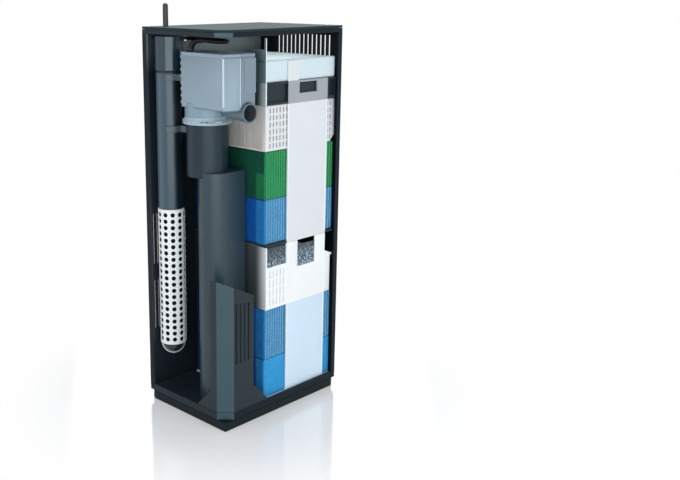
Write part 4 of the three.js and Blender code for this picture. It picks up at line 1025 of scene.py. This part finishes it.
# ---- Filter media --------------------------------------------------------------------------
# Foam pads, ribbed up their open sides, with painted highlights on the ribs and painted shade on
# their ends, floss on top, a slotted cartridge of carbon, and ceramic granules in the lower basket's tub.
# The painted shade on the pads' ends deepens from near_x inwards to deep_x.
deep_x = -30 * mm               # the pads' ends darken from near_x inwards to deep_x
near_x = 20 * mm
deep_gloom = 0.40


def foam(name, colour, ridge_highlight_colour, end_shade_colour, pore, depth=0.62, drift=(0.86, 1.12)):
    """Open-cell foam: dark specks and pits for pores, painted highlights on ribs, painted shade on ends.
    """
    made, tree, shader = new_material(name, Roughness=0.9, Specular_IOR_Level=0.2)
    cells = node(tree, "ShaderNodeTexVoronoi", {"Vector": place_in(tree), "Scale": pore})
    pit = ranged(tree, cells.outputs["Distance"], 0.15, 0.75, depth, drift[1])
    cloud = ranged(tree, cloudy(tree, 90.0, Detail=4.0), 0.0, 1.0, *drift)
    ridge, end = (node(tree, "ShaderNodeAttribute", attribute_name=layer).outputs["Fac"]
                  for layer in ("ridge", "end"))
    ribbed = mixed_colour(tree, ridge, colour, ridge_highlight_colour)
    # the ribs' painted highlight, then the ends' painted shade
    tinted = mixed_colour(tree, end, ribbed, end_shade_colour)
    inwards = ranged(tree, place_in(tree, "X"), deep_x, near_x, deep_gloom, 0.0)
    lit = maths(tree, "SUBTRACT", 1.0, maths(tree, "MULTIPLY", inwards, end))
    value = maths(tree, "MULTIPLY", maths(tree, "MULTIPLY", pit, cloud), lit)
    bump = node(tree, "ShaderNodeBump", {
        "Strength": 0.6, "Distance": 0.0006, "Height": cells.outputs["Distance"]})
    fill(tree, shader, {"Base Color": shaded(tree, tinted, value), "Normal": bump.outputs[0]})
    return made


blue_foam = foam("blue_foam", (0.022, 0.212, 0.480), (0.280, 0.515, 0.630), (0.000, 0.072, 0.320),
                 900.0)
fine_blue_foam = foam("fine_blue_foam", (0.036, 0.340, 0.710), (0.060, 0.390, 0.760),
                      (0.001, 0.050, 0.270), 1500.0)
green_foam = foam("green_foam", (0.014, 0.210, 0.070), (0.075, 0.430, 0.170), (0.001, 0.062, 0.036),
                  1100.0)
floss_white = foam("floss", (0.64, 0.75, 0.80), (0.64, 0.75, 0.80), (0.64, 0.75, 0.80), 700.0,
                   depth=0.97, drift=(0.99, 1.03))
pad_step = 1.25 * mm
pad_corner = 2.0 * mm
pad_edge = 1.0 * mm
pad_draw = pad_edge * 0.8       # how far the top and bottom edges draw in
cap_steps = 16
foam_rib = 3.8 * mm
lump_scale = 220
# Near the open corner, up to a share of the pad's height, the ends' painted shade is weaker: a painted
# lit band.
lit_corner_band = 14 * mm
corner_shade = 0.45


def rectangle_path(x0, x1, y0, y1, corner, step):
    """Points round a rectangle with round corners: the point and which way is outwards."""
    path = []
    sides = [((x0 + corner, y0), (x1 - corner, y0), (0, -1)),
             ((x1, y0 + corner), (x1, y1 - corner), (1, 0)),
             ((x1 - corner, y1), (x0 + corner, y1), (0, 1)),
             ((x0, y1 - corner), (x0, y0 + corner), (-1, 0))]
    for index, (start, end, outward) in enumerate(sides):
        length = hypot(end[0] - start[0], end[1] - start[1])
        count = max(1, round(length / step))
        for i in range(count):
            share = i / count
            path.append(((start[0] + (end[0] - start[0]) * share,
                          start[1] + (end[1] - start[1]) * share), outward))
        middle = (end[0] - corner * outward[0], end[1] - corner * outward[1])
        for i in range(3):
            angle = -pi / 2 + index * pi / 2 + pi / 2 * i / 3
            out = (cos(angle), sin(angle))
            path.append(((middle[0] + corner * out[0], middle[1] + corner * out[1]), out))
    return path


def pad(node_name, material, rib_depth, rough, seed, dish=0.0, lit_band_share=1.0):
    """A foam pad from its side walls and two capped faces, ribbed up its open sides."""
    low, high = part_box(node_name)
    path = rectangle_path(low.x, high.x, low.y, high.y, pad_corner, pad_step)
    middle = (low + high) / 2
    height = high.z - low.z
    rows = max(4, round(height / pad_step))
    levels = []
    for i in range(rows + 1):
        z = low.z + height * i / rows
        near = min(z - low.z, high.z - z)
        levels.append((z, pad_draw * (1 - min(near, pad_edge) / pad_edge), 1.0))
    bottom = [(low.z, pad_draw, k / cap_steps) for k in range(cap_steps)]
    top = [(high.z, pad_draw, k / cap_steps) for k in range(cap_steps - 1, -1, -1)]
    build = bmesh.new()
    ridge_layer = build.verts.layers.float.new("ridge")
    end_layer = build.verts.layers.float.new("end")
    loops = []
    for z, inset, scale in bottom + levels + top:
        loop = []
        wall = scale == 1
        for (x, y), out in path:
            open_side = abs(out[0]) > 0.99
            wave = 0.5 + 0.5 * cos(2 * pi * (y - low.y) / foam_rib)
            ridge = wave ** 3 if rib_depth and open_side else 0.0
            push = -inset - (rib_depth * (1 - ridge) if open_side else 0.0)
            px = middle.x + (x + out[0] * push - middle.x) * scale
            py = middle.y + (y + out[1] * push - middle.y) * scale
            lump = abs(noise.noise(Vector((px, py, z)) * lump_scale + Vector((seed, 0, 0)))) * rough
            sunk = 0.0
            if not wall and z > middle.z:
                sunk = lump + dish * min(1.0, 3 * (1 - scale)) ** 2
            vertex = build.verts.new((px - out[0] * lump * wall, py - out[1] * lump * wall, z - sunk))
            # ridge carries the painted highlight on the ribs, end the painted shade on the ends
            vertex[ridge_layer] = ridge if wall else 0.0
            at_end = abs(out[1]) > 0.99 and wall
            pale = high.x - px < lit_corner_band and z < low.z + height * lit_band_share
            vertex[end_layer] = at_end * (corner_shade if pale else 1.0)
            loop.append(vertex)
            if scale == 0:
                break
        loops.append(loop)
    for a, b in zip(loops, loops[1:]):
        wall_between(build, a, b)
    piece = closed_mesh(node_name + "_foam", build, material, crease=80)
    stand_in_for(piece, node_name)


pad("lower_fine_pad", fine_blue_foam, 0.15 * mm, 0.20 * mm, 1)
pad("lower_coarse_pad", blue_foam, 0.9 * mm, 0.25 * mm, 2)
pad("upper_fine_pad", blue_foam, 0.9 * mm, 0.25 * mm, 3)
pad("nitrate_pad", green_foam, 0.8 * mm, 0.25 * mm, 4, lit_band_share=0.55)
pad("floss_pad", floss_white, 0.0, 0.12 * mm, 5, dish=2.2 * mm)

tub_white = plastic("basket_plastic", (0.86, 0.88, 0.88), 0.32, cloud=0.04, specular=0.4)
plate_white = plastic("plate_plastic", (0.71, 0.73, 0.75), 0.36, cloud=0.05, specular=0.35)
pale_blue = plastic("pale_blue_plastic", (0.62, 0.76, 0.88), 0.34, cloud=0.05)
band_grey = plastic("band_plastic", (0.34, 0.365, 0.385), 0.38, cloud=0.15)
window_shade_slate = plastic("window_shade_plastic", (0.022, 0.034, 0.044), 0.5, specular=0.18)
cartridge_end_shade = plastic("cartridge_end_shade_plastic", (0.52, 0.49, 0.46), 0.45, cloud=0.05)
bead_highlight = plastic("bead_highlight_plastic", (0.80, 0.90, 0.94), 0.20, cloud=0.02)
cartridge_white = plastic("cartridge_plastic", (0.70, 0.71, 0.73), 0.40, cloud=0.05)
granule_gap_shade = plastic("granule_gap_shade", (0.055, 0.075, 0.092), 0.8)
carbon_black = plastic("active_carbon", (0.012, 0.012, 0.014), 0.62, cloud=0.5, grain=0.8,
                       grain_scale=1800.0)


def painted_shade_ramp(name, dark, light, start, end):
    """Plastic in painted shade deep inside the filter, turning to painted light by the open side."""
    made, tree, shader = new_material(name)
    share = ranged(tree, place_in(tree, "X"), start, end, interpolation_type="SMOOTHSTEP")
    moulded(tree, shader, Colour=mixed_colour(tree, share, dark, light), Gloss=0.4)
    return made


# Painted shade and light for the ends of the floss, the band and the tub, which look along -Y.
post_start = 47 * mm
post_end = 60 * mm
floss_end = painted_shade_ramp("floss_end_plastic", (0.064, 0.100, 0.112), (0.130, 0.180, 0.195),
                         post_start, post_end)
band_end = painted_shade_ramp("band_end_plastic", (0.032, 0.050, 0.050), (0.400, 0.460, 0.440),
                        post_start, post_end)
tub_end = painted_shade_ramp("tub_end_plastic", (0.026, 0.034, 0.036), (0.66, 0.70, 0.72),
                       44 * mm, 66 * mm)
upper_low, upper_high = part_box("upper_basket")
cartridge_low, cartridge_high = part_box("carbon_cartridge")
floss_low, floss_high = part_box("floss_pad")
lower_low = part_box("lower_basket")[0]
granule_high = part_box("ceramic_granules")[1]
coarse_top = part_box("lower_coarse_pad")[1].z
media_front = floss_low.y
media_right = upper_high.x
media_middle_y = (floss_low.y + floss_high.y) / 2
plate_front = media_front + 33.5 * mm
plate_back = plate_front + 65 * mm
bead_inset = 2.6 * mm
basket = moulding("upper_basket", plate_white, 0.3 * mm, merged=False)
sliced(basket, ((0, plate_front, 0), (0, 1, 0)), ((0, plate_back, 0), (0, 1, 0)),
       at_level(floss_low.z), at_level(cartridge_high.z), crease=coplanar)


def beside_plate(spot):
    return not plate_front < spot.y < plate_back


repaint(basket,
        # the partition post's open face, pale as a painted highlight
        (bead_highlight, lambda spot, way: spot.y < media_front and spot.z > cartridge_high.z
         and spot.x > media_right - bead_inset and way.x > 0.5),
        (floss_end, lambda spot, way: spot.y < media_front and spot.z > floss_low.z),
        (band_end, lambda spot, way: spot.y < media_front and spot.z > cartridge_high.z),
        # painted shade, near black, beside the plate in the band and at the basket's foot
        (window_shade_slate, lambda spot, way: beside_plate(spot) and spot.z > cartridge_high.z),
        (window_shade_slate, lambda spot, way: beside_plate(spot) and spot.z < upper_low.z + 6 * mm),
        (band_grey, lambda spot, way: cartridge_high.z < spot.z < floss_low.z))
tub = moulding("lower_basket", tub_white, 0.3 * mm, merged=False)
sliced(tub, at_level(coarse_top), crease=coplanar)
repaint(tub, (pale_blue, lambda spot, way: spot.z < coarse_top),
        (tub_end, lambda spot, way: way.y < -0.7))

# Raised beads up both edges of each plate, pale as painted highlights.
bead_width = 1.5 * mm
bead_rise = 0.35 * mm
bead_sink = 0.2                 # share of the rise
bead_foot = 2.5 * mm            # above each basket's floor
bead_head = 1.2 * mm            # past the granules
for index, (owner, low_z, high_z) in enumerate((
        ("lower_basket", lower_low.z + bead_foot, granule_high.z + bead_head),
        ("upper_basket", upper_low.z + bead_foot, cartridge_high.z))):
    bars("plate_beads_%d" % index, owner, bead_highlight, (bead_width, high_z - low_z, 2 * bead_rise),
         (1, 0, 0), (media_right - bead_rise * bead_sink, (plate_front + plate_back) / 2,
                     (low_z + high_z) / 2),
         (2, 1), (plate_back - plate_front - bead_width, 0.0))

# A slate lining behind the band's windows, the basket's upstand before the floss, and the tab on
# the partition's top.
lining_inset = 2.6 * mm
lining_depth = 3.2 * mm
lining_play = 1.2 * mm
lining_wall = 1.0 * mm
bars("band_lining", "upper_basket", slate_corner,
     (floss_high.y - floss_low.y - 2 * lining_inset, floss_low.z - cartridge_high.z - lining_play,
      lining_wall), (1, 0, 0),
     (media_right - lining_depth, media_middle_y, (floss_low.z + cartridge_high.z) / 2))
upstand_width = 17 * mm
upstand_wall = 0.9 * mm
upstand_play = 1.0 * mm
upstand_inset = 0.8 * mm
bars("floss_upstand", "upper_basket", plate_white,
     (upstand_width, floss_high.z - floss_low.z - upstand_play, upstand_wall), (1, 0, 0),
     (media_right - upstand_inset, plate_front + upstand_width / 2,
      (floss_low.z + floss_high.z) / 2 - upstand_inset), edge=0.3 * mm)
tab_width = 29 * mm
tab_height = 12 * mm
tab_wall = 1.2 * mm
tab_foot = 1 * mm               # below the floss's top
tab_inset = 2.4 * mm
tab_proud = 0.9 * mm
bars("partition_tab", "upper_basket", floss_end, (tab_width, tab_height + tab_foot, tab_wall),
     (0, -1, 0), (media_right - tab_inset - tab_width / 2, media_front - tab_proud,
                  floss_high.z + (tab_height - tab_foot) / 2), edge=0.3 * mm)


def carved(piece, cutter):
    """Cuts the cutter's shape out of the piece."""
    modified(piece, "BOOLEAN", object=cutter, operation="DIFFERENCE", solver="EXACT")
    bpy.data.objects.remove(cutter)


# The cartridge: rows of slots through its sides, upright lines on its cut end, and a sloped foot.
slot_size = (1.9 * mm, 5.2 * mm)
slot_pitch = (5.2 * mm, 7.6 * mm)
line_width = 1.0 * mm
line_depth = 0.5 * mm
line_pitch = 4.4 * mm
cartridge_slope = 8 * mm
cartridge = moulding("carbon_cartridge", cartridge_white, 0.4 * mm)
cartridge_middle = (cartridge_low + cartridge_high) / 2
cartridge_size = cartridge_high - cartridge_low
carved(cartridge, bars("cartridge_slots", None, cartridge_white, (*slot_size, cartridge_size.x + 4 * mm),
                       (1, 0, 0), cartridge_middle,
                       (int((cartridge_size.y - 6 * mm) / slot_pitch[0]),
                        int((cartridge_size.z - 3 * mm) / slot_pitch[1])), slot_pitch))
carved(cartridge, bars("cartridge_lines", None, cartridge_white,
                       (line_width, cartridge_size.z - 5 * mm, 2 * line_depth), (0, -1, 0),
                       (cartridge_middle.x, cartridge_low.y, cartridge_middle.z),
                       (int((cartridge_size.x - 6 * mm) / line_pitch), 1), (line_pitch, 0.0)))
trimmed(cartridge, (0, cartridge_high.y - cartridge_slope, cartridge_low.z), (0, 1, -1))
# The cartridge's end face is painted darker, as shade.
repaint(cartridge, (cartridge_end_shade, lambda spot, way: spot.y < cartridge_low.y + 1.2 * mm))
tub_slot_size = (0.9 * mm, 9 * mm, 8 * mm)
tub_slot_pitch = (5.6 * mm, 10.8 * mm)
tub_slots_along = 17.5 * mm
tub_slots_up = 24.5 * mm
carved(tub, bars("tub_slots", None, tub_white, tub_slot_size, (1, 0, 0),
                 (media_right, media_front + tub_slots_along, coarse_top + tub_slots_up),
                 (5, 4), tub_slot_pitch))

# Rough ceramic granules, which show in the tub's two windows, paler low down and darker towards
# the top as painted shade, over a dark fill painted as the shade between them.
granule_grey, granule_nodes, granule_shader = new_material("ceramic_granules", Roughness=0.75)
speckle = ranged(granule_nodes, cloudy(granule_nodes, 420.0, Detail=3.0), 0.42, 0.64)
speckle_colour = mixed_colour(granule_nodes, speckle, (0.100, 0.140, 0.175), (0.40, 0.51, 0.59))
pale_below = coarse_top + 44 * mm
dark_above = coarse_top + 64 * mm
granule_shade = ranged(granule_nodes, place_in(granule_nodes, "Z"), pale_below, dark_above, 1.5, 0.5)
fill(granule_nodes, granule_shader, {
    "Base Color": shaded(granule_nodes, speckle_colour, granule_shade)})
moulding("ceramic_granules", granule_gap_shade, 0.5 * mm)
moulding("carbon_fill", carbon_black, 0.5 * mm)


def granule_tree():
    """A layer of rough pebbles on a jittered lattice, each turned and sized by the seed."""
    tree, given, out = new_tree("granule_layer", {
        "Columns": ("Int", 4), "Rows": ("Int", 4), "Spacing": ("Float", 0.003),
        "Granule": ("Float", 0.003), "Seed": ("Int", 0)})

    def drawn(low, high):
        return node(tree, "FunctionNodeRandomValue", {0: low, 1: high, "Seed": given["Seed"]},
                    data_type="FLOAT_VECTOR").outputs[0]

    spots = lattice(tree, given["Columns"], given["Rows"], given["Spacing"], given["Spacing"])
    step = node(tree, "ShaderNodeVectorMath", {
        0: drawn((-0.5, -0.5, -0.3), (0.5, 0.5, 0.3))}, operation="SCALE")
    fill(tree, step, {"Scale": given["Spacing"]})
    moved = node(tree, "GeometryNodeSetPosition", {"Geometry": spots, "Offset": step.outputs[0]})
    pebble = node(tree, "GeometryNodeMeshIcoSphere", {
        "Subdivisions": 2, "Radius": maths(tree, "MULTIPLY", given["Granule"], 0.5)})
    return copied_to(tree, given, out, moved.outputs[0], pebble.outputs[0],
                     Rotation=drawn((0, 0, 0), (6.3, 6.3, 6.3)),
                     Scale=drawn((0.7, 0.6, 0.7), (1.25, 1.0, 1.25)))


granule_layer = granule_tree()
granule_size = 3.0 * mm
granule_step = 2.3 * mm
granule_patches = (             # start along the stack, width, low and high above the tub's floor
    (3 * mm, 30 * mm, 46 * mm, 68 * mm),
    (51 * mm, 31 * mm, 39 * mm, 66 * mm),
)
for seed, (start, width, bottom, top) in enumerate(granule_patches):
    patch = grown("granules_%d" % seed, granule_layer, granule_grey, Columns=round(width / granule_step),
                  Rows=round((top - bottom) / granule_step), Spacing=granule_step,
                  Granule=granule_size, Seed=seed)
    facing(patch, (1, 0, 0), (granule_high.x - 0.5 * mm, media_front + start + width / 2,
                              coarse_top + (bottom + top) / 2))
    patch.data.set_sharp_from_angle(angle=radians(60))
    joined_on(patch, "ceramic_granules")

# ---- Floor, backdrop and light ---------------------------------------------------------------
# A pale floor that fades into a white backdrop, with soft boxes on the camera's side, on each
# open side, above and behind, and a faint one under the cover.
stage_size = 6.0
fade_start = 0.12
fade_end = 0.31
near_white = 0.10


def shown_white(tree):
    """1 on the rays by which the camera, gloss and glass see the backdrop, or else 0."""
    path = node(tree, "ShaderNodeLightPath")
    camera_ray, glass_ray, gloss_ray = (
        path.outputs["Is %s Ray" % kind] for kind in ("Camera", "Transmission", "Glossy"))
    return maths(tree, "MAXIMUM", maths(tree, "MAXIMUM", camera_ray, glass_ray), gloss_ray)


floor_paint, floor_tree, floor_shader = new_material(
    "pale_floor", Base_Color=(0.97, 0.97, 0.98, 1), Roughness=0.1, Specular_IOR_Level=1.0)
away = node(floor_tree, "ShaderNodeVectorMath", {0: place_in(floor_tree)}, operation="LENGTH")
white = ranged(floor_tree, away.outputs["Value"], fade_start, fade_end, near_white, 1.0,
               interpolation_type="SMOOTHSTEP")
glow = node(floor_tree, "ShaderNodeEmission", {"Color": (1, 1, 1, 1), "Strength": 1.0})
floor_mix = node(floor_tree, "ShaderNodeMixShader", {
    0: maths(floor_tree, "MULTIPLY", shown_white(floor_tree), white),
    1: floor_shader.outputs[0], 2: glow.outputs[0]})
fill(floor_tree, floor_tree.nodes["Material Output"], {"Surface": floor_mix.outputs[0]})
floor_data = bpy.data.meshes.new("floor")
floor_data.from_pydata([(x * stage_size, y * stage_size, 0) for x, y in
                        ((-1, -1), (1, -1), (1, 1), (-1, 1))], [], [(0, 1, 2, 3)])
put("floor", floor_data, floor_paint)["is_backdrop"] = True

world = bpy.data.worlds.new("studio")
bpy.context.scene.world = world
world.use_nodes = True
world_tree = world.node_tree
sky = fill(world_tree, world_tree.nodes["Background"], {"Color": (0.92, 0.96, 1.0, 1), "Strength": 0.40})
white_back = node(world_tree, "ShaderNodeBackground", {"Color": (1, 1, 1, 1), "Strength": 1.0})
back_mix = node(world_tree, "ShaderNodeMixShader", {
    0: shown_white(world_tree), 1: sky.outputs[0], 2: white_back.outputs[0]})
fill(world_tree, world_tree.nodes["World Output"], {"Surface": back_mix.outputs[0]})


def lamp(name, place, aim, size, power, colour=(1, 1, 1)):
    """A soft box that faces a point. The camera doesn't see it."""
    data = bpy.data.lights.new(name, "AREA")
    data.shape = "RECTANGLE"
    data.size, data.size_y = size
    data.energy = power
    data.color = colour
    made = put(name, data)
    made.location = place
    made.rotation_euler = (Vector(aim) - Vector(place)).to_track_quat("-Z", "Y").to_euler()
    made.visible_camera = False


filter_middle = (0, 0, (cad_low.z + cad_high.z) / 2)
lamp("key_box", (1.15, -1.25, 1.15), filter_middle, (0.5, 0.5), 2.8)
lamp("facing_box", (1.08, -0.80, 0.24), (0, 0, 0.24), (1.5, 0.46), 6.2, (0.88, 0.96, 1.0))
lamp("right_box", (1.5, 0.2, 0.9), filter_middle, (1.0, 1.0), 5.1)
lamp("front_box", (-0.2, -1.5, 0.9), filter_middle, (1.0, 1.0), 4.4)
lamp("top_box", (0.2, -0.2, 1.8), filter_middle, (1.2, 1.2), 8)
lamp("back_box", (-1.2, 1.2, 1.2), filter_middle, (1.2, 1.2), 10)
lamp("inner_box", (0, 0.03, 0.4272), (0, 0.0301, 0.3), (0.1, 0.1), 0.04)

bpy.context.scene.view_settings.view_transform = "Standard"
low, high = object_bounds()
